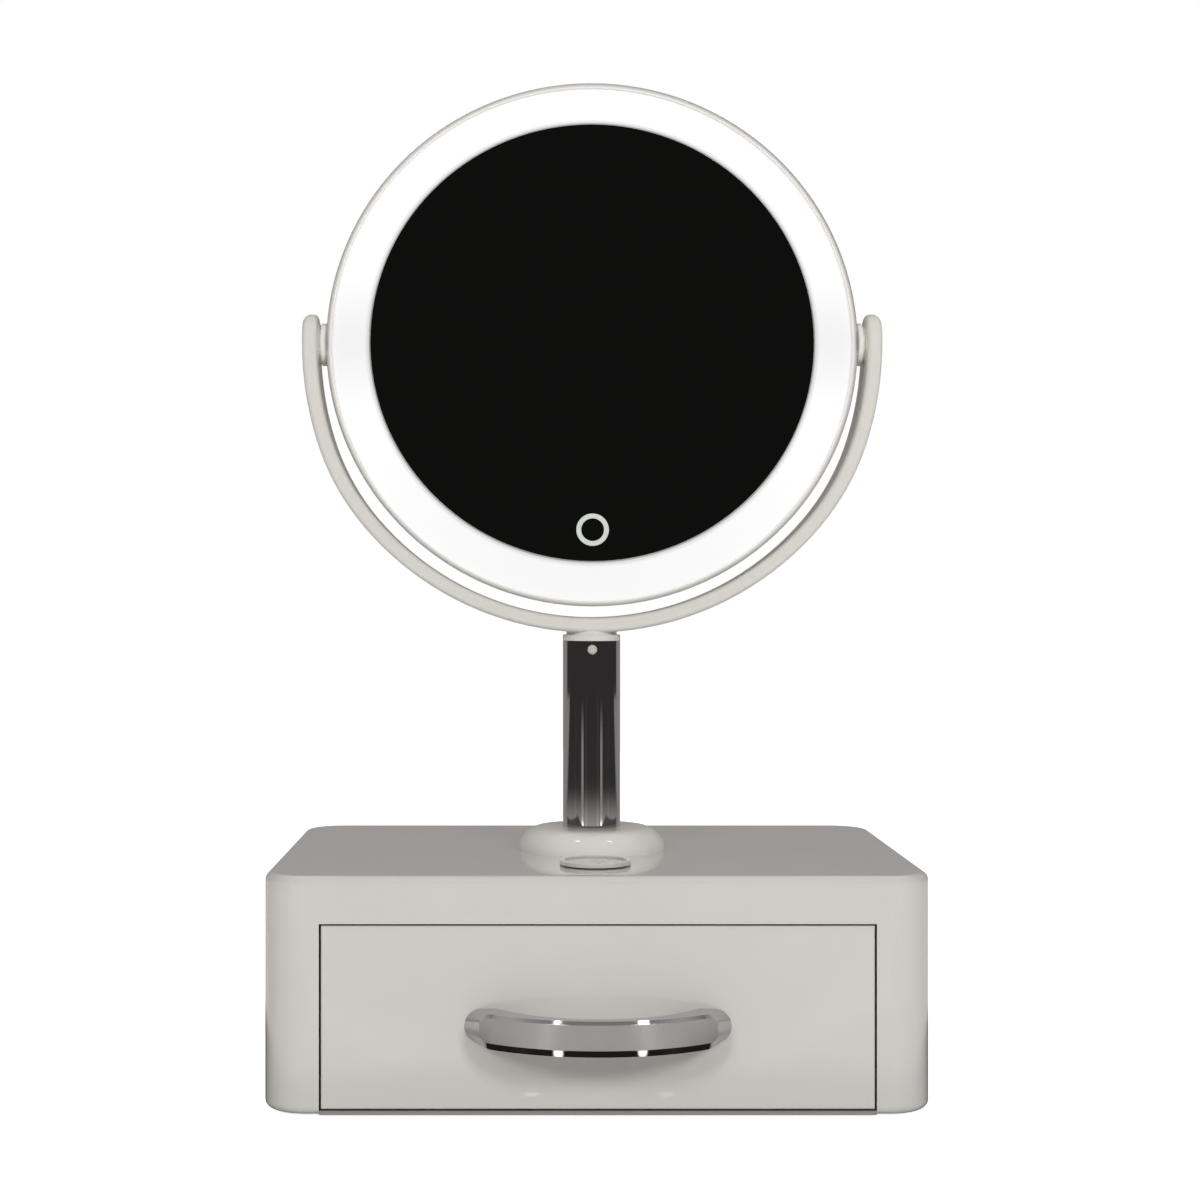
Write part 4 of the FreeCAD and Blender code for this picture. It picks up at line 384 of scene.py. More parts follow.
def lit_rim_finish(look):
    """Thin white ABS wall round the lit ring: its front glows with light that leaks through, and its outer
    edge is painted a darker grey all round, a painted shade for its shaded outer wall."""
    material, tree, shader, place = finish_of("lit_rim_abs", look.shell, roughness=0.22)
    level = head_level(tree, place)
    forward = add(tree, "ShaderNodeMapRange", {
        "Value": level["depth"], "From Min": 0.6 * MM - HEAD_FRONT, "From Max": 1.6 * MM - HEAD_FRONT,
        "To Min": 1.0, "To Max": 0.0}, interpolation_type="SMOOTHSTEP")
    inward = add(tree, "ShaderNodeMapRange", {
        "Value": level["radius"], "From Min": RIM_RADIUS - 3.2 * MM, "From Max": RIM_RADIUS - 1.3 * MM,
        "To Min": look.leak, "To Max": 0.0}, interpolation_type="SMOOTHSTEP")
    leak = add(tree, "ShaderNodeMath", {0: forward, 1: inward}, operation="MULTIPLY")
    feed(tree, shader, {"Emission Strength": leak})
    # painted shade: the rim's outer edge is painted the darker wall grey all round, for the shade on its
    # outer wall
    edge_shade_ramp = add(tree, "ShaderNodeMapRange", {
        "Value": level["radius"], "From Min": RIM_RADIUS - 2.0 * MM, "From Max": RIM_RADIUS - 0.4 * MM},
        interpolation_type="SMOOTHSTEP")
    boss = add(tree, "ShaderNodeMath", {
        0: level["radius"], 1: RIM_RADIUS + 0.5 * MM}, operation="GREATER_THAN")
    painted_edge_shade = add(tree, "ShaderNodeMath", {0: edge_shade_ramp, 1: boss}, operation="SUBTRACT")
    body = add(tree, "ShaderNodeMix", {
        0: painted_edge_shade, 6: tuple(look.shell), 7: tuple(look.wall)}, data_type="RGBA")
    feed(tree, shader, {"Base Color": body.outputs[2], "Emission Color": tuple(look.light)})
    cloudy_gloss(tree, shader, place, low=0.19, high=0.26, size=12)
    feed(tree, shader, {"IOR": 1.54})
    return material


def print_finish(look):
    """White ceramic ink on the glass, faintly lit by the touch sensor behind it."""
    material, tree, shader, place = finish_of("touch_ring_ink", look.mark, roughness=0.5)
    mottle(tree, shader, place, tuple(look.mark), dimmed(look.mark, 0.95), size=1.5)
    feed(tree, shader, {"Emission Color": tuple(look.mark), "Emission Strength": 0.12})
    return material


def board_finish(name, mask, trace):
    """Glass-epoxy board under solder mask: copper tracks show as slightly raised, paler bands."""
    material, tree, shader, place = finish_of(name, mask, roughness=0.35)
    tracks = add(tree, "ShaderNodeTexBrick", {
        "Vector": place, "Scale": detail(9), "Mortar Size": 0.06,
        "Color1": mask, "Color2": mask, "Mortar": trace})
    feed(tree, shader, {"Base Color": tracks.outputs["Color"]})
    bump = add(tree, "ShaderNodeBump", {
        "Height": tracks.outputs["Fac"], "Distance": 0.05 * MM, "Strength": 0.5})
    feed(tree, shader, {"Normal": bump})
    return material


def lamp_finish():
    """Phosphor in a white lamp package: a pale yellow dome."""
    material, tree, shader, place = finish_of("lamp_phosphor", paint("#F0E08A"), roughness=0.3)
    mottle(tree, shader, place, paint("#F2E48F"), paint("#E6CF6E"), size=0.8)
    return material


def cell_finish():
    """Printed film round a cell: plain graphite, shiny."""
    material, tree, shader, place = finish_of("cell_sleeve", paint("#2E3033"), roughness=0.3)
    mottle(tree, shader, place, paint("#303236"), paint("#292B2E"), size=9)
    feed(tree, shader, {"Coat Weight": 0.5})
    return material


# ---------------------------------------------------------------- repeated pieces

def islands(name):
    """The separate solids of a CAD node, each as its lowest and highest corner."""
    shape = bmesh.new()
    shape.from_mesh(nodes[name].data)
    bmesh.ops.remove_doubles(shape, verts=shape.verts, dist=1e-6)
    found, seen = [], set()
    for start in shape.verts:
        if start.index in seen:
            continue
        seen.add(start.index)
        queue, corners = [start], []
        while queue:
            corner = queue.pop()
            corners.append(corner.co.copy())
            for edge in corner.link_edges:
                other = edge.other_vert(corner)
                if other.index not in seen:
                    seen.add(other.index)
                    queue.append(other)
        found.append((
            Vector([min(c[axis] for c in corners) for axis in range(3)]),
            Vector([max(c[axis] for c in corners) for axis in range(3)])))
    shape.free()
    return sorted(found, key=lambda box: tuple(round(c, 6) for c in box[0]))


def new_tree(name, sizes, finishes):
    """An empty Geometry Nodes tree with named inputs, lengths in metres, and the sockets that give them."""
    tree = bpy.data.node_groups.new(name, "GeometryNodeTree")
    tree.interface.new_socket("Places", in_out="INPUT", socket_type="NodeSocketGeometry")
    for label in sizes:
        tree.interface.new_socket(label, in_out="INPUT", socket_type="NodeSocketFloat")
    for label in finishes:
        tree.interface.new_socket(label, in_out="INPUT", socket_type="NodeSocketMaterial")
    tree.interface.new_socket("Pieces", in_out="OUTPUT", socket_type="NodeSocketGeometry")
    return tree, add(tree, "NodeGroupInput").outputs


def raised(tree, part, height):
    """The same part, moved up its own axis."""
    lift = add(tree, "ShaderNodeCombineXYZ", {"Z": height})
    return add(tree, "GeometryNodeTransform", {"Geometry": part, "Translation": lift})


def set_out(tree, given, *parts):
    """Ends a tree: puts each part on every place, its Z along that place's axis and its X along its side,
    then makes it real and gives it its material."""
    axis = add(tree, "GeometryNodeInputNamedAttribute", {"Name": "axis"}, data_type="FLOAT_VECTOR")
    side = add(tree, "GeometryNodeInputNamedAttribute", {"Name": "side"}, data_type="FLOAT_VECTOR")
    turn = add(tree, "FunctionNodeAxesToRotation", {0: axis, 1: side}, primary_axis="Z", secondary_axis="X")
    dressed = []
    for part, finish in parts:
        spread = add(tree, "GeometryNodeInstanceOnPoints", {
            "Points": given["Places"], "Instance": part, "Rotation": turn})
        real = add(tree, "GeometryNodeRealizeInstances", {"Geometry": spread})
        dressed.append(add(tree, "GeometryNodeSetMaterial", {"Geometry": real, "Material": given[finish]}))
    whole = add(tree, "GeometryNodeJoinGeometry", {"Geometry": dressed})
    add(tree, "NodeGroupOutput", {"Pieces": whole})
    return tree


def grow(name, tree, places, values):
    """Runs a tree on places, each with its axis and its side, and keeps what it makes as a plain mesh."""
    points = bpy.data.meshes.new(name + "_places")
    points.from_pydata([tuple(place[0]) for place in places], [], [])
    for label, at in (("axis", 1), ("side", 2)):
        given = points.attributes.new(label, "FLOAT_VECTOR", "POINT")
        given.data.foreach_set("vector", [number for place in places for number in place[at]])
    source = bpy.data.objects.new(name + "_source", points)
    bpy.context.scene.collection.objects.link(source)
    modifier = source.modifiers.new("grow", "NODES")
    modifier.node_group = tree
    for item in tree.interface.items_tree:
        if item.in_out == "INPUT" and item.name in values:
            modifier[item.identifier] = values[item.name]
    evaluated = source.evaluated_get(bpy.context.evaluated_depsgraph_get())
    shape = bpy.data.meshes.new_from_object(evaluated)
    if not shape.polygons:
        raise RuntimeError(f"{name}: the tree made nothing")
    shape.name = name
    source.modifiers.remove(modifier)
    bpy.data.objects.remove(source)
    made = bpy.data.objects.new(name, shape)
    bpy.context.scene.collection.objects.link(made)
    return made


def settle(piece, body, slot, *replaced):
    """Hands a finished piece to the body that carries it."""
    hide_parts(*replaced)
    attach(piece, body)


def screw_tree():
    """Cross-recessed screw with a rolled thread. Z of the tree points out of the head."""
    tree, given = new_tree("Cross-Recessed Screws", [
        "Head Diameter", "Head Height", "Shank Diameter", "Shank Length", "Pitch", "Recess"], ["Finish"])
    half = add(tree, "ShaderNodeMath", {0: given["Head Diameter"], 1: 0.5}, operation="MULTIPLY")
    crown = add(tree, "ShaderNodeMath", {0: half, 1: 0.72}, operation="MULTIPLY")
    head = add(tree, "GeometryNodeMeshCone", {
        "Vertices": 32, "Side Segments": 1, "Radius Top": crown, "Radius Bottom": half,
        "Depth": given["Head Height"]})
    wing = add(tree, "ShaderNodeMath", {0: given["Recess"], 1: 0.28}, operation="MULTIPLY")
    deep = add(tree, "ShaderNodeMath", {0: given["Head Height"], 1: 1.2}, operation="MULTIPLY")
    blades = []
    for wide, long in ((given["Recess"], wing), (wing, given["Recess"])):
        size = add(tree, "ShaderNodeCombineXYZ", {"X": wide, "Y": long, "Z": deep})
        blades.append(raised(tree, add(tree, "GeometryNodeMeshCube", {"Size": size}), given["Head Height"]))
    cut = add(tree, "GeometryNodeMeshBoolean", {"Mesh 1": head, "Mesh 2": blades}, operation="DIFFERENCE")
    core = add(tree, "ShaderNodeMath", {0: given["Shank Diameter"], 1: 0.42}, operation="MULTIPLY")
    shank = add(tree, "GeometryNodeMeshCylinder", {
        "Vertices": 20, "Side Segments": 1, "Fill Segments": 1, "Radius": core,
        "Depth": given["Shank Length"]})
    sunk = add(tree, "ShaderNodeMath", {0: given["Shank Length"], 1: -0.5}, operation="MULTIPLY")
    turns = add(tree, "ShaderNodeMath", {0: given["Shank Length"], 1: given["Pitch"]}, operation="DIVIDE")
    thread_length = add(tree, "ShaderNodeMath", {0: given["Shank Length"], 1: -0.96}, operation="MULTIPLY")
    helix = add(tree, "GeometryNodeCurveSpiral", {
        "Resolution": 16, "Rotations": turns, "Start Radius": core, "End Radius": core,
        "Height": thread_length})
    flank = add(tree, "ShaderNodeMath", {0: given["Shank Diameter"], 1: 0.075}, operation="MULTIPLY")
    ridge = add(tree, "GeometryNodeCurvePrimitiveCircle", {"Resolution": 4, "Radius": flank})
    thread = add(tree, "GeometryNodeCurveToMesh", {"Curve": helix, "Profile Curve": ridge, "Fill Caps": True})
    return set_out(tree, given, (cut, "Finish"), (raised(tree, shank, sunk), "Finish"), (thread, "Finish"))


def lamp_tree():
    """Surface-mounted lamp: a white package with a round phosphor window. Z points the way it shines."""
    tree, given = new_tree("Ring Lamps", ["Width", "Length", "Height", "Window"], ["Package", "Phosphor"])
    size = add(tree, "ShaderNodeCombineXYZ", {
        "X": given["Width"], "Y": given["Length"], "Z": given["Height"]})
    package = add(tree, "GeometryNodeMeshCube", {"Size": size})
    half = add(tree, "ShaderNodeMath", {0: given["Window"], 1: 0.5}, operation="MULTIPLY")
    window = add(tree, "GeometryNodeMeshCylinder", {
        "Vertices": 16, "Side Segments": 1, "Fill Segments": 1, "Radius": half, "Depth": 0.1 * MM})
    top = add(tree, "ShaderNodeMath", {0: given["Height"], 1: 0.5}, operation="MULTIPLY")
    return set_out(tree, given, (package, "Package"), (raised(tree, window, top), "Phosphor"))


def cell_tree():
    """Dry cell: a printed sleeve over the ends of a steel can with a raised cap. Z points to the cap."""
    tree, given = new_tree(
        "Dry Cells", ["Diameter", "Length", "Cap Diameter", "Cap Height", "Crimp"], ["Sleeve", "Steel"])
    outer = add(tree, "ShaderNodeMath", {0: given["Diameter"], 1: 0.5}, operation="MULTIPLY")
    inner = add(tree, "ShaderNodeMath", {0: outer, 1: given["Crimp"]}, operation="SUBTRACT")
    nub = add(tree, "ShaderNodeMath", {0: given["Cap Diameter"], 1: 0.5}, operation="MULTIPLY")
    wrapped = add(tree, "ShaderNodeMath", {0: given["Length"], 1: given["Crimp"]}, operation="SUBTRACT")
    sleeve, can, cap = (
        add(tree, "GeometryNodeMeshCylinder", {
            "Vertices": sides, "Side Segments": 1, "Fill Segments": 1, "Radius": radius, "Depth": length})
        for sides, radius, length in (
            (48, outer, wrapped), (48, inner, given["Length"]), (32, nub, given["Cap Height"])))
    whole = add(tree, "ShaderNodeMath", {0: given["Length"], 1: given["Cap Height"]}, operation="ADD")
    end = add(tree, "ShaderNodeMath", {0: whole, 1: 0.5}, operation="MULTIPLY")
    return set_out(tree, given, (sleeve, "Sleeve"), (can, "Steel"), (raised(tree, cap, end), "Steel"))


# ---------------------------------------------------------------- turned and bowed pieces

def piece_of(name, shape, crease):
    """Makes an object from a built mesh: normals outwards, smooth, with edges over this angle kept crisp."""
    bmesh.ops.remove_doubles(shape, verts=shape.verts, dist=1e-7)
    bmesh.ops.recalc_face_normals(shape, faces=shape.faces)
    mesh = bpy.data.meshes.new(name)
    shape.to_mesh(mesh)
    shape.free()
    for face in mesh.polygons:
        face.use_smooth = True
    mesh.set_sharp_from_angle(angle=math.radians(crease))
    made = bpy.data.objects.new(name, mesh)
    bpy.context.scene.collection.objects.link(made)
    return made


def turned(name, profile, steps, crease):
    """A closed profile of radii and heights, turned round the post's axis."""
    shape = bmesh.new()
    rings = []
    for step in range(steps):
        angle = 2 * math.pi * step / steps
        rings.append([shape.verts.new((radius * math.cos(angle), radius * math.sin(angle), height))
                      for radius, height in profile])
    for ring, following in zip(rings, rings[1:] + rings[:1]):
        for at in range(len(profile)):
            after = (at + 1) % len(profile)
            shape.faces.new((ring[at], ring[after], following[after], following[at]))
    return piece_of(name, shape, crease)


def bow_circle(front, half, rise):
    """Radius and centre line of the arc that stands out by rise over a chord of twice half."""
    radius = (half * half + rise * rise) / (2 * rise)
    return radius, front + radius


def bow_columns(straight, round_steps):
    """Upright cuts through a round-ended outline: where each lies on its straight middle, from -1 to 1, and
    the cosine and sine of the end's turn."""
    turns = [step / round_steps * math.pi / 2 for step in range(round_steps)]
    left = [(-1.0, -math.cos(turn), math.sin(turn)) for turn in turns]
    right = [(1.0, math.cos(turn), math.sin(turn)) for turn in reversed(turns)]
    return left + [(place, 0.0, 1.0) for place in straight] + right


def bow_handle(look):
    """The handle: a round-ended bar, bowed out from the drawer, bevelled round its face and flared to its
    feet."""
    low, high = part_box("handle")
    level, board = (low.z + high.z) / 2, high.y
    tall = (high.z - low.z) / 2
    radius, centre = bow_circle(BOW_FRONT, BOW_HALF, BOW_RISE)
    gap = BOW_HALF - look.foot
    inner_radius, inner_centre = bow_circle(BOW_FRONT + look.strap, gap, board - BOW_FRONT - look.strap)
    turn = tall - look.bevel
    face_straight, foot_straight = look.face_half - turn, BOW_HALF - tall
    spans = [-foot_straight, -gap] + [gap * (step / 20 - 1) for step in range(1, 40)] + [gap, foot_straight]
    columns = bow_columns([span / foot_straight for span in spans], round_steps=12)
    shape = bmesh.new()
    rings = [[], [], []]  # round the face, round the outside of its bevel, and round the back
    for place, out, up in columns:
        end, flank = math.copysign(abs(out) ** look.blunt, out), up ** look.blunt
        x = place * face_straight + end * turn
        depth = math.sqrt(radius * radius - x * x)
        lean = Vector((x / radius, -depth / radius))
        along = Vector((-lean.y, lean.x))
        edge = Vector((x, centre - depth))
        beyond = edge + (along * end - lean) * look.bevel
        foot = place * foot_straight + out * tall
        back = board
        if abs(foot) < gap:
            back = inner_centre - math.sqrt(inner_radius * inner_radius - foot * foot)
        for ring, spot, heights in (
                (rings[0], edge, (flank * (tall - look.bevel), -flank * (tall - look.under))),
                (rings[1], beyond, (flank * tall, -flank * tall)),
                (rings[2], Vector((foot, back)), (up * tall, -up * tall))):
            ring.append([shape.verts.new((spot.x, spot.y, level + height)) for height in heights])
    last = len(columns) - 1
    for at in range(last):
        for side in (0, 1):
            for ring, outer in zip(rings, rings[1:]):
                shape.faces.new((ring[at][side], ring[at + 1][side], outer[at + 1][side], outer[at][side]))
        for ring in (rings[0], rings[2]):
            shape.faces.new((ring[at][0], ring[at + 1][0], ring[at + 1][1], ring[at][1]))
    bmesh.ops.dissolve_degenerate(shape, dist=1e-7, edges=shape.edges)
    return piece_of("bow_handle", shape, crease=20)


# ---------------------------------------------------------------- settings

class CaseLook(bpy.types.PropertyGroup):
    """Colours of the case, the drawer and their felts, and the skin of the lacquer"""
    lacquer: bpy.props.FloatVectorProperty(
        name="Lacquer", description="Body colour of the case and the drawer front", subtype="COLOR",
        size=4, min=0, max=1, default=paint("#CFCCC7"))
    # painted shade: this grey, darker than the lacquer, is painted on the floor board's front edge for the
    # shade under the drawer front
    edge: bpy.props.FloatVectorProperty(
        name="Painted edge", description="Front edge of the floor board, painted without a clear coat",
        subtype="COLOR", size=4, min=0, max=1, default=paint("#918D88"))
    peel: bpy.props.FloatProperty(
        name="Orange peel", description="Size of the ripples in the lacquer", subtype="DISTANCE",
        unit="LENGTH", min=0.0005, max=0.02, default=2.4 * MM)
    birch: bpy.props.FloatVectorProperty(
        name="Birch", description="Drawer sides, back and runners", subtype="COLOR",
        size=4, min=0, max=1, default=paint("#D9C29C"))
    lining: bpy.props.FloatVectorProperty(
        name="Lining", description="Felt in the drawer", subtype="COLOR",
        size=4, min=0, max=1, default=paint("#77736E"))
    base: bpy.props.FloatVectorProperty(
        name="Base felt", description="Felt under the case", subtype="COLOR",
        size=4, min=0, max=1, default=paint("#3A3835"))


class MetalLook(bpy.types.PropertyGroup):
    """Plating, the round plate and the screws"""
    chrome: bpy.props.FloatVectorProperty(
        name="Chrome", description="Tint of the plated parts", subtype="COLOR",
        size=4, min=0, max=1, default=paint("#C8C8CA"))
    pearl: bpy.props.FloatVectorProperty(
        name="Pearl", description="Lacquer of the round plate", subtype="COLOR",
        size=4, min=0, max=1, default=paint("#E9E5DE"))
    satin: bpy.props.FloatProperty(
        name="Satin", description="Roughness of the handle's bowed face", subtype="FACTOR",
        min=0, max=1, default=0.22)
    recess: bpy.props.FloatProperty(
        name="Cross recess", description="Width of a screw's recess as a share of its head", subtype="FACTOR",
        min=0.2, max=0.9, default=0.56)
    pitch: bpy.props.FloatProperty(
        name="Thread pitch", description="Distance between the turns of a screw thread", subtype="DISTANCE",
        unit="LENGTH", min=0.0004, max=0.003, default=1.1 * MM)


class HandleShape(bpy.types.PropertyGroup):
    """Shape of the bow handle"""
    bevel: bpy.props.FloatProperty(
        name="Bevel", description="Bevel over the handle's face, and its depth all round", subtype="DISTANCE",
        unit="LENGTH", min=0.0005, max=0.004, default=1.25 * MM)
    under: bpy.props.FloatProperty(
        name="Lower bevel", description="Height of the bevel under the handle's face", subtype="DISTANCE",
        unit="LENGTH", min=0.0005, max=0.004, default=2.6 * MM)
    blunt: bpy.props.FloatProperty(
        name="Blunt ends", description="1 rounds the ends of the face fully; less squares them",
        min=0.3, max=1, default=0.62)
    strap: bpy.props.FloatProperty(
        name="Strap", description="Thickness of the bar at its middle", subtype="DISTANCE",
        unit="LENGTH", min=0.002, max=0.012, default=5.5 * MM)
    foot: bpy.props.FloatProperty(
        name="Foot", description="Length of each foot on the drawer front", subtype="DISTANCE",
        unit="LENGTH", min=0.008, max=0.02, default=12.5 * MM)
    face_half: bpy.props.FloatProperty(
        name="Face", description="Middle of the handle to the end of its face", subtype="DISTANCE",
        unit="LENGTH", min=0.03, max=0.048, default=44.6 * MM)


class HeadLook(bpy.types.PropertyGroup):
    """Mouldings of the post, the fork and the mirror head, the glass and its lit ring"""
    shell: bpy.props.FloatVectorProperty(
        name="Rim and cover", description="Moulded shell of the mirror head", subtype="COLOR",
        size=4, min=0, max=1, default=paint("#E2DFDB"))
    # painted shade: this darker grey is painted on the rim's outer edge all round, for the shade on its outer
    # wall
    wall: bpy.props.FloatVectorProperty(
        name="Rim's outer wall", description="The rim round its edge, where no light leaks", subtype="COLOR",
        size=4, min=0, max=1, default=paint("#AFACA8"))
    fork: bpy.props.FloatVectorProperty(
        name="Fork", description="Moulded fork and its pivot caps", subtype="COLOR",
        size=4, min=0, max=1, default=paint("#D7D4CD"))
    collar: bpy.props.FloatVectorProperty(
        name="Collar", description="Moulded collar at the foot of the post", subtype="COLOR",
        size=4, min=0, max=1, default=paint("#DFDCD5"))
    button: bpy.props.FloatVectorProperty(
        name="Lock button", description="Moulded button that holds the fork in the post", subtype="COLOR",
        size=4, min=0, max=1, default=paint("#BEBBB4"))
    silver: bpy.props.FloatVectorProperty(
        name="Silvering", description="Tint of the mirror", subtype="COLOR",
        size=4, min=0, max=1, default=paint("#E8EAE8"))
    light: bpy.props.FloatVectorProperty(
        name="Ring light", description="Colour of the lit ring", subtype="COLOR",
        size=4, min=0, max=1, default=paint("#FFFEFC"))
    glow: bpy.props.FloatProperty(
        name="Brightness", description="Strength of the lit ring", min=0, max=10, default=0.62)
    leak: bpy.props.FloatProperty(
        name="Leak", description="Strength of the light that shows through the rim's front",
        min=0, max=2, default=0.3)
    mark: bpy.props.FloatVectorProperty(
        name="Touch ring", description="Ring printed on the mirror", subtype="COLOR",
        size=4, min=0, max=1, default=paint("#C6CBC4"))


class StageLook(bpy.types.PropertyGroup):
    """Lamps, the room that gloss shows, and the lens"""
    key: bpy.props.FloatProperty(
        name="Key lamps", description="Power of the left one of the two soft lamps in front", unit="POWER",
        min=0, max=100, default=5.75)
    lean: bpy.props.FloatProperty(
        name="Right to left", description="Power of the right key lamp as a share of the left one's",
        subtype="FACTOR", min=0, max=2, default=1.28)
    fill: bpy.props.FloatProperty(
        name="Fill lamp", description="Power of the wide lamp beside the camera", unit="POWER",
        min=0, max=100, default=2.7)
    back: bpy.props.FloatProperty(
        name="Back lamp", description="Power of the soft lamp behind the object", unit="POWER",
        min=0, max=100, default=4.0)
    ambient: bpy.props.FloatProperty(
        name="Ambient", description="Strength of the sky on matt surfaces", min=0, max=2, default=0.31)
    dark: bpy.props.FloatProperty(
        name="Room in front", description="Tone that gloss shows of the room in front",
        min=0, max=1, default=0.042)
    wall: bpy.props.FloatProperty(
        name="Wall behind", description="Tone that gloss shows of the wall behind",
        min=0, max=1, default=0.32)
    ceiling: bpy.props.FloatProperty(
        name="Ceiling", description="Tone that gloss shows of the ceiling", min=0, max=2, default=1.05)
    spots: bpy.props.FloatProperty(
        name="Ceiling lights", description="Tone that gloss shows of the two ceiling lights",
        min=0, max=50, default=12)
    table: bpy.props.FloatProperty(
        name="Table", description="Tone that gloss shows of the table", min=0, max=1, default=0.6)
    stand: bpy.props.FloatProperty(
        name="Lamp stands", description="Tone that gloss shows of the lamp stands",
        min=0, max=10, default=0.35)
    lens: bpy.props.FloatProperty(
        name="Lens", description="Focal length in millimetres", min=20, max=200, default=62.78)


# ---------------------------------------------------------------- operators

class VANITY_OT_case(bpy.types.Operator):
    """Lacquer the case and the drawer front, and finish the floor board and its felt"""
    bl_idname = "vanity.case"
    bl_label = "Case"

    def execute(self, context):
        look = context.scene.vanity_case
        wear(lacquer_finish(look), "cabinet_case", "drawer_front")
        wear(floor_board_finish(look), "bottom_panel")
        wear(felt_finish("base_felt_cloth", tuple(look.base)), "base_felt")
        return {"FINISHED"}


class VANITY_OT_drawer(bpy.types.Operator):
    """Finish the drawer box, its lining, its runners and the stop"""
    bl_idname = "vanity.drawer"
    bl_label = "Drawer"

    def execute(self, context):
        look = context.scene.vanity_case
        wear(birch_finish(look, "birch_along_sides", "Y"),
             "drawer_side_left", "drawer_side_right", "drawer_runner_left", "drawer_runner_right")
        wear(birch_finish(look, "birch_along_back", "X"), "drawer_back", "drawer_bottom", "drawer_stop")
        wear(felt_finish("lining_felt", tuple(look.lining)), "drawer_lining")
        return {"FINISHED"}


class VANITY_OT_handle(bpy.types.Operator):
    """Cast and plate the bow handle"""
    bl_idname = "vanity.handle"
    bl_label = "Handle"

    def execute(self, context):
        made = bow_handle(context.scene.vanity_handle)
        made.data.materials.append(handle_finish(context.scene.vanity_metal))
        settle(made, "drawer", "chrome", "handle")
        return {"FINISHED"}


class VANITY_OT_post(bpy.types.Operator):
    """Finish the post, its collar, the round plate and what holds them"""
    bl_idname = "vanity.post"
    bl_label = "Post"

    def execute(self, context):
        metal, head = context.scene.vanity_metal, context.scene.vanity_head
        wear(tube_finish(metal), "post_tube")
        wear(badge_finish(metal), "badge_disc")
        moulding = plastic_finish("collar_abs", tuple(head.collar), roughness=0.06)
        wear(plastic_finish("button_abs", tuple(head.button), roughness=0.3), "lock_button")
        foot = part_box("post_collar")[0].z
        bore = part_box("post_tube")[1].x + 0.02 * MM
        profile = [(radius * MM, foot + height * MM) for radius, height in SHOULDER]
        made = turned("collar", profile + [(bore, foot + 9.6 * MM), (bore, foot)], steps=96, crease=40)
        made.data.materials.append(moulding)
        settle(made, "stand", "white_plastic", "post_collar")
        wear(zinc_finish(), "post_plug", "post_bolt", "bolt_washer")
        wear(spring_finish(), "button_spring")
        return {"FINISHED"}


class VANITY_OT_fork(bpy.types.Operator):
    """Finish the fork and the pivots"""
    bl_idname = "vanity.fork"
    bl_label = "Fork"

    def execute(self, context):
        head = context.scene.vanity_head
        wear(plastic_finish("fork_abs", tuple(head.fork), roughness=0.24),
             "yoke", "pivot_cap_left", "pivot_cap_right")
        wear(nylon_finish(), "friction_washer_left", "friction_washer_right", "glass_carrier")
        wear(brass_finish(), "pivot_insert_left", "pivot_insert_right")
        wear(zinc_finish(), "pivot_screw_left", "pivot_screw_right")
        return {"FINISHED"}


class VANITY_OT_head(bpy.types.Operator):
    """Finish the mirror head: shell, glass, lit ring, boards and battery bay"""
    bl_idname = "vanity.head"
    bl_label = "Mirror head"

    def execute(self, context):
        look = context.scene.vanity_head
        wear(lit_rim_finish(look), "head_rim")
        wear(plastic_finish("shell_abs", tuple(look.shell), roughness=0.22), "rear_cover", "battery_door")
        wear(glass_finish(look), "mirror_glass")
        wear(opal_finish(look), "diffuser_ring")
        wear(print_finish(look), "touch_ring")
        wear(board_finish("lamp_board_epoxy", paint("#ECECE6"), paint("#C9C7BC")), "led_board")
        wear(board_finish("control_board_epoxy", paint("#1F5A3A"), paint("#4F8C5E")),
             "control_board", "touch_sensor")
        wear(zinc_finish(), "battery_contacts")
        return {"FINISHED"}


class VANITY_OT_screws(bpy.types.Operator):
    """Put cross-recessed screws where the CAD has its plain ones"""
    bl_idname = "vanity.screws"
    bl_label = "Screws"

    def execute(self, context):
        metal = context.scene.vanity_metal
        tree = screw_tree()
        finish = zinc_finish()
        for name, (body, axis, head, height, shank) in SCREWS.items():
            across = Vector((0, 0, 1)) if abs(axis.z) < 0.5 else Vector((1, 0, 0))
            # a box round a leaning screw reaches further than the screw, by about this much
            slack = head / 2 * MM * math.sqrt(max(0, 1 - max(abs(number) for number in axis) ** 2))
            places = []
            for low, high in islands(name):
                middle, half = (low + high) / 2, (high - low) / 2
                out = -axis if name == "runner_screws" and middle.x > 0 else axis
                along = sum(abs(axis[at]) * half[at] for at in range(3)) - slack
                places.append((middle + out * (along - height * MM), out, across))
                reach = along * 2 - height * MM
            made = grow("cross_" + name, tree, places, {
                "Head Diameter": head * MM, "Head Height": height * MM, "Recess": head * metal.recess * MM,
                "Shank Diameter": shank * MM, "Shank Length": reach, "Pitch": metal.pitch, "Finish": finish})
            settle(made, body, "steel", name)
        return {"FINISHED"}


class VANITY_OT_lamps(bpy.types.Operator):
    """Put the surface-mounted lamps round their board"""
    bl_idname = "vanity.lamps"
    bl_label = "Lamps"

    def execute(self, context):
        pivot = Vector((0, 0, PIVOT_HEIGHT))
        places = []
        for low, high in islands("led_chips"):
            middle = (low + high) / 2
            radial = middle - pivot
            radial -= HEAD_FORWARD * radial.dot(HEAD_FORWARD)
            places.append((middle, HEAD_FORWARD, radial.normalized()))
        made = grow("ring_lamps", lamp_tree(), places, {
            "Width": 3.5 * MM, "Length": 2.8 * MM, "Height": 0.8 * MM, "Window": 2.3 * MM,
            "Package": plastic_finish("lamp_package_nylon", paint("#EDEBE4"), roughness=0.4),
            "Phosphor": lamp_finish()})
        settle(made, "head", "lamp", "led_chips")
        return {"FINISHED"}


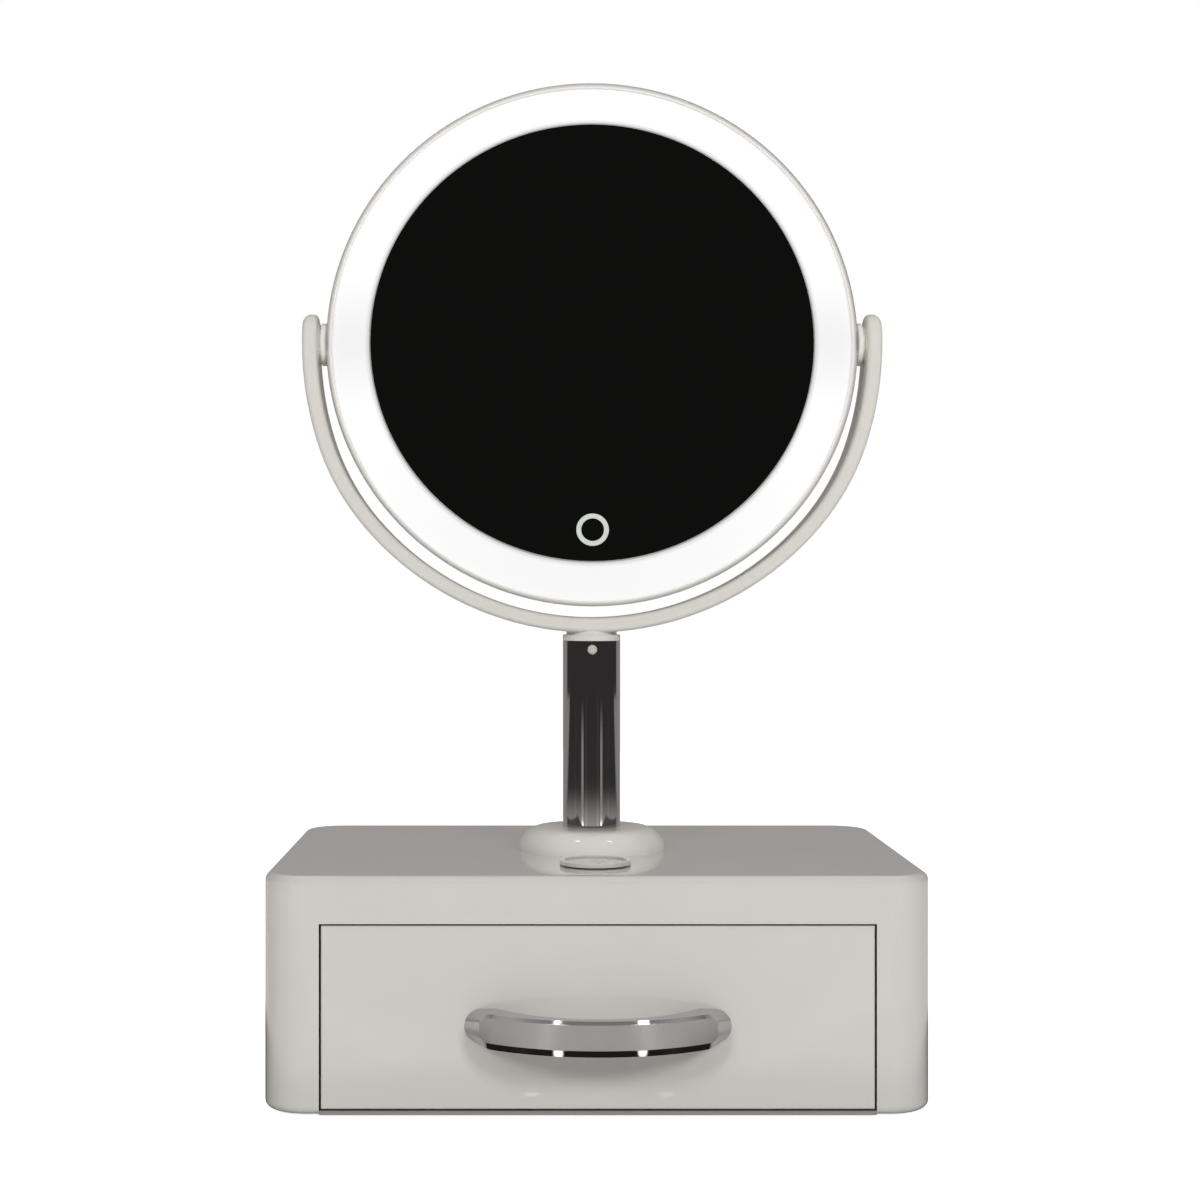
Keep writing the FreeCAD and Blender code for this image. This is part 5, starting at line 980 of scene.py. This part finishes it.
class VANITY_OT_cells(bpy.types.Operator):
    """Put the four dry cells in their bay, every second one turned round"""
    bl_idname = "vanity.cells"
    bl_label = "Cells"

    def execute(self, context):
        places = []
        boxes = sorted(islands("battery_cells"), key=lambda box: box[0].z)
        for row, (low, high) in enumerate(boxes):
            facing = 1 if row % 2 == 0 else -1
            middle = (low + high) / 2 - Vector((facing * CAP_HEIGHT / 2, 0, 0))
            places.append((middle, Vector((facing, 0, 0)), Vector((0, 0, 1))))
        made = grow("dry_cells", cell_tree(), places, {
            "Diameter": 14.2 * MM, "Length": 49.0 * MM, "Cap Diameter": 5.5 * MM, "Cap Height": CAP_HEIGHT,
            "Crimp": 0.3 * MM, "Sleeve": cell_finish(), "Steel": zinc_finish()})
        settle(made, "head", "cell", "battery_cells")
        return {"FINISHED"}


class VANITY_OT_stage(bpy.types.Operator):
    """Set the floor, the lamps, the world and the camera"""
    bl_idname = "vanity.stage"
    bl_label = "Stage"

    def execute(self, context):
        look = context.scene.vanity_stage
        lay_floor()
        hang_room(look)
        lay_table(look)
        for side, share in ((-1, 1.0), (1, look.lean)):
            stand_lamp(side, look)
            out, front, up = KEY_PLACE
            set_lamp(f"key_{side + 2}", (out * side, front, up), KEY_SIZE, look.key * share)
        set_lamp("fill", FILL_PLACE, FILL_SIZE, look.fill)
        set_lamp("back", BACK_PLACE, BACK_SIZE, look.back)
        light_world(look)
        place_camera(look)
        context.scene.view_settings.view_transform = "Standard"
        return {"FINISHED"}


# ---------------------------------------------------------------- the stage, all lengths in metres

EYE = (-0.0244, -0.8765, 0.1999)
EYE_SHIFT = (0.0556, -0.01)
FLOOR_HALF, TABLE_HALF, ROOM_RADIUS = 6.0, 3.2, 3.0
KEY_PLACE, KEY_SIZE = (0.72, -1.12, 0.72), 0.3
FILL_PLACE, FILL_SIZE = (0, -1.5, 0.35), 1.2
BACK_PLACE, BACK_SIZE = (0, 1.6, 0.42), 1.0
LAMPS_AIM = Vector((0, 0, 0.12))
CEILING_LIGHTS = ((-0.236, -0.146, 0.949), (0.312, -0.146, 0.949))
STAND_ANGLE, STAND_REACH, STAND_HALF, STAND_HEIGHT = math.radians(38), 0.8, 0.06, 0.115
IMAGE_SHIFT, IMAGE_ASIDE, IMAGE_AHEAD = 0.0016, 0.0265, 0.1215
WARM_WHITE = paint("#FFF8F4")


def stage_piece(name, corners, faces, material):
    """A plain piece of the stage."""
    shape = bpy.data.meshes.new(name)
    shape.from_pydata(corners, [], faces)
    shape.materials.append(material)
    made = bpy.data.objects.new(name, shape)
    bpy.context.scene.collection.objects.link(made)
    return made


def bare_material(name):
    """A material with no nodes yet, and its tree."""
    material = bpy.data.materials.new(name)
    material.use_nodes = True
    material.node_tree.nodes.clear()
    return material, material.node_tree


def square(half, height):
    """Corners of a level square round the origin."""
    return [(-half, -half, height), (half, -half, height), (half, half, height), (-half, half, height)]


def lay_floor():
    """Plain pale floor that keeps the object's shadow and turns white towards the eye."""
    material, tree = bare_material("pale_floor")
    matt = add(tree, "ShaderNodeBsdfDiffuse", {"Color": paint("#E9E9E8")})
    white = add(tree, "ShaderNodeEmission", {"Color": (1, 1, 1, 1), "Strength": 0.8})
    glow = add(tree, "ShaderNodeMixShader", {0: white_rays(tree), 2: white})
    both = add(tree, "ShaderNodeAddShader", {0: matt, 1: glow})
    add(tree, "ShaderNodeOutputMaterial", {"Surface": both})
    stage_piece("floor", square(FLOOR_HALF, height=0), [(0, 1, 2, 3)], material)


def white_rays(tree):
    """1 for the rays that see the background: from the eye, off gloss and through glass."""
    path = add(tree, "ShaderNodeLightPath")
    some = add(tree, "ShaderNodeMath", {
        0: path.outputs["Is Camera Ray"], 1: path.outputs["Is Glossy Ray"]}, operation="ADD", use_clamp=True)
    every = add(tree, "ShaderNodeMath", {
        0: some, 1: path.outputs["Is Transmission Ray"]}, operation="ADD", use_clamp=True)
    return every


def gloss_only(thing):
    """Hides a stage card from everything but reflections."""
    thing.visible_camera = False
    thing.visible_diffuse = False
    thing.visible_transmission = False
    thing.visible_volume_scatter = False
    thing.visible_shadow = False


def shine(tree, *layers):
    """Ends a stage card's tree. A layer is the product of soft steps, each a value, where the step starts and
    ends, and its tone before and after. The card shows the brightest layer."""
    tone = None
    for layer in layers:
        product = None
        for value, start, end, low, high in layer:
            step = add(tree, "ShaderNodeMapRange", {
                "Value": value, "From Min": start, "From Max": end, "To Min": low, "To Max": high},
                interpolation_type="SMOOTHSTEP")
            if product:
                step = add(tree, "ShaderNodeMath", {0: product, 1: step}, operation="MULTIPLY")
            product = step
        tone = add(tree, "ShaderNodeMath", {0: tone, 1: product}, operation="MAXIMUM") if tone else product
    glow = add(tree, "ShaderNodeEmission", {"Color": WARM_WHITE, "Strength": tone})
    add(tree, "ShaderNodeOutputMaterial", {"Surface": glow})


def hang_room(look):
    """Dim room round the stage, seen only in gloss: near-black in front, grey behind, paler overhead, with
    two small ceiling lights."""
    shape = bmesh.new()
    bmesh.ops.create_uvsphere(shape, u_segments=64, v_segments=32, radius=ROOM_RADIUS)
    bmesh.ops.reverse_faces(shape, faces=shape.faces)
    corners = [tuple(corner.co) for corner in shape.verts]
    faces = [tuple(corner.index for corner in face.verts) for face in shape.faces]
    shape.free()
    material, tree = bare_material("room_walls")
    place = add(tree, "ShaderNodeTexCoord").outputs["Object"]
    way = add(tree, "ShaderNodeVectorMath", {0: place}, operation="NORMALIZE")
    axes = add(tree, "ShaderNodeSeparateXYZ", {"Vector": way}).outputs
    all_round = [(axes["Z"], 0.07, 0.14, look.dark, look.dark * 0.15)]
    behind = [(axes["Y"], 0.4, 0.5, 0.0, look.wall)]
    overhead = [(axes["Y"], -0.2, 0.3, look.ceiling * 0.27, look.ceiling), (axes["Z"], 0.7, 0.9, 0.0, 1.0)]
    lights = []
    # a light's soft edge, as the cosines of its outer and inner radius in degrees
    outer, inner = (math.cos(math.radians(radius)) for radius in (2.6, 1.8))
    for toward in CEILING_LIGHTS:
        near = add(tree, "ShaderNodeVectorMath", {
            0: way, 1: Vector(toward).normalized()}, operation="DOT_PRODUCT").outputs["Value"]
        lights.append([(near, outer, inner, 0.0, look.spots)])
    shine(tree, all_round, behind, overhead, *lights)
    gloss_only(stage_piece("room", corners, faces, material))


def lay_table(look):
    """The table as gloss sees it: dark close to the case, grey further out with paler bands towards the
    lamps, dark again beyond, and the lamps' two small images just in front of the drawer."""
    material, tree = bare_material("table_gloss")
    place = add(tree, "ShaderNodeTexCoord").outputs["Object"]
    axes = add(tree, "ShaderNodeSeparateXYZ", {"Vector": place}).outputs
    reach = add(tree, "ShaderNodeVectorMath", {0: place}, operation="LENGTH").outputs["Value"]
    side = add(tree, "ShaderNodeMath", {0: axes["X"]}, operation="ABSOLUTE")
    ahead = add(tree, "ShaderNodeMath", {0: axes["Y"], 1: -1.0}, operation="MULTIPLY")
    turn = add(tree, "ShaderNodeMath", {0: side, 1: ahead}, operation="ARCTAN2")
    # the case is wider than it is deep, and so is the dark patch round it
    drawn_in = add(tree, "ShaderNodeMapping", {"Vector": place, "Scale": (0.72, 1, 0)})
    close = add(tree, "ShaderNodeVectorMath", {0: drawn_in}, operation="LENGTH").outputs["Value"]
    behind = [(axes["Y"], 0.3, 0.7, 0.0, look.wall)]
    lit = [(close, 0.15, 0.2, 0.03, 1.0), (reach, 0.7, 1.25, 1.0, 0.07)]  # dark by the case and far out
    bands, band_half = [], math.radians(5.5)
    for angle, paler in ((23, 0.26), (69, 0.15)):
        off = add(tree, "ShaderNodeMath", {0: turn, 1: math.radians(angle)}, operation="SUBTRACT")
        off = add(tree, "ShaderNodeMath", {0: off}, operation="ABSOLUTE")
        bands.append([(off, 0.0, band_half, look.table + paler, look.table), *lit])
    across = add(tree, "ShaderNodeMath", {0: axes["X"], 1: IMAGE_SHIFT}, operation="SUBTRACT")
    either = add(tree, "ShaderNodeMath", {0: across}, operation="ABSOLUTE")
    aside = add(tree, "ShaderNodeMath", {0: either, 1: IMAGE_ASIDE}, operation="SUBTRACT")
    apart = add(tree, "ShaderNodeMath", {0: ahead, 1: IMAGE_AHEAD}, operation="SUBTRACT")
    off_image = add(tree, "ShaderNodeCombineXYZ", {"X": aside, "Y": apart})
    span = add(tree, "ShaderNodeVectorMath", {0: off_image}, operation="LENGTH").outputs["Value"]
    images = [(span, 0.002, 0.004, 2.2, 0.0)]
    shine(tree, behind, *bands, images)
    gloss_only(stage_piece("table_gloss", square(TABLE_HALF, height=0.3 * MM), [(0, 1, 2, 3)], material))


def stand_lamp(side, look):
    """The lit foot of a lamp stand, seen only in gloss: a narrow upright strip, brighter towards the floor,
    with a small lamp at its very foot."""
    material, tree = bare_material("stand_glow")
    place = add(tree, "ShaderNodeTexCoord").outputs["Object"]
    up = add(tree, "ShaderNodeSeparateXYZ", {"Vector": place}).outputs["Z"]
    strip = [(up, 0.07, STAND_HEIGHT, look.stand, 0.034)]
    foot_lamp = [(up, 0.0125, 0.014, 4.0, 0.0)]
    shine(tree, strip, foot_lamp)
    across, front = math.sin(STAND_ANGLE) * side, -math.cos(STAND_ANGLE)
    centre = Vector((across, front, 0)) * STAND_REACH
    along = Vector((-front, across, 0)) * STAND_HALF
    feet = [centre - along, centre + along]
    corners = [tuple(foot) for foot in feet] + [(foot.x, foot.y, STAND_HEIGHT) for foot in reversed(feet)]
    gloss_only(stage_piece(f"stand_{side + 2}", corners, [(0, 1, 2, 3)], material))


def set_lamp(name, place, side, power):
    """A square soft lamp that faces the object. Gloss sees the room's own lights in its stead."""
    lamp = bpy.data.lights.new(name, "AREA")
    lamp.shape = "SQUARE"
    lamp.size = side
    lamp.energy = power
    made = bpy.data.objects.new(name, lamp)
    made.location = place
    aim = LAMPS_AIM - Vector(place)
    made.rotation_euler = aim.to_track_quat("-Z", "Y").to_euler()
    made.visible_glossy = False
    made.visible_camera = False
    bpy.context.scene.collection.objects.link(made)


def light_world(look):
    """White behind the object, and a dimmer sky for what lights it."""
    world = bpy.data.worlds.new("studio")
    bpy.context.scene.world = world
    world.use_nodes = True
    tree = world.node_tree
    tree.nodes.clear()
    sky = add(tree, "ShaderNodeBackground", {"Color": (1, 1, 1, 1), "Strength": look.ambient})
    white = add(tree, "ShaderNodeBackground", {"Color": (1, 1, 1, 1), "Strength": 1.0})
    mixed = add(tree, "ShaderNodeMixShader", {0: white_rays(tree), 1: sky, 2: white})
    add(tree, "ShaderNodeOutputWorld", {"Surface": mixed})


def place_camera(look):
    """Level camera in front of the object, a little to its left."""
    lens = bpy.data.cameras.new("camera")
    lens.sensor_fit = "HORIZONTAL"
    lens.sensor_width = 36
    lens.lens = look.lens
    lens.shift_x, lens.shift_y = EYE_SHIFT
    lens.clip_start = 0.01
    made = bpy.data.objects.new("camera", lens)
    made.location = EYE
    made.rotation_euler = (math.pi / 2, 0, 0)
    bpy.context.scene.collection.objects.link(made)
    bpy.context.scene.camera = made


# ---------------------------------------------------------------- panel and registration

STEPS = (VANITY_OT_stage, VANITY_OT_case, VANITY_OT_drawer, VANITY_OT_handle, VANITY_OT_post,
         VANITY_OT_fork, VANITY_OT_head, VANITY_OT_screws, VANITY_OT_lamps, VANITY_OT_cells)
LOOKS = {"vanity_case": CaseLook, "vanity_metal": MetalLook, "vanity_handle": HandleShape,
         "vanity_head": HeadLook, "vanity_stage": StageLook}


class VANITY_PT_panel(bpy.types.Panel):
    """Lists the mirror's settings and the steps that make it"""
    bl_idname = "VANITY_PT_panel"
    bl_label = "Vanity Mirror"
    bl_space_type = "VIEW_3D"
    bl_region_type = "UI"
    bl_category = "Vanity Mirror"

    def draw(self, context):
        for key, look in LOOKS.items():
            box = self.layout.box()
            for name in look.__annotations__:
                box.prop(getattr(context.scene, key), name)
        for step in STEPS:
            self.layout.operator(step.bl_idname)


CLASSES = (*LOOKS.values(), *STEPS, VANITY_PT_panel)


def register():
    for made in CLASSES:
        bpy.utils.register_class(made)
    for key, look in LOOKS.items():
        setattr(bpy.types.Scene, key, bpy.props.PointerProperty(type=look))


def unregister():
    for key in LOOKS:
        delattr(bpy.types.Scene, key)
    for made in reversed(CLASSES):
        bpy.utils.unregister_class(made)


def main():
    """Makes everything in order."""
    register()
    for step in STEPS:
        group, action = step.bl_idname.split(".")
        getattr(getattr(bpy.ops, group), action)()


if __name__ == "__main__":
    main()
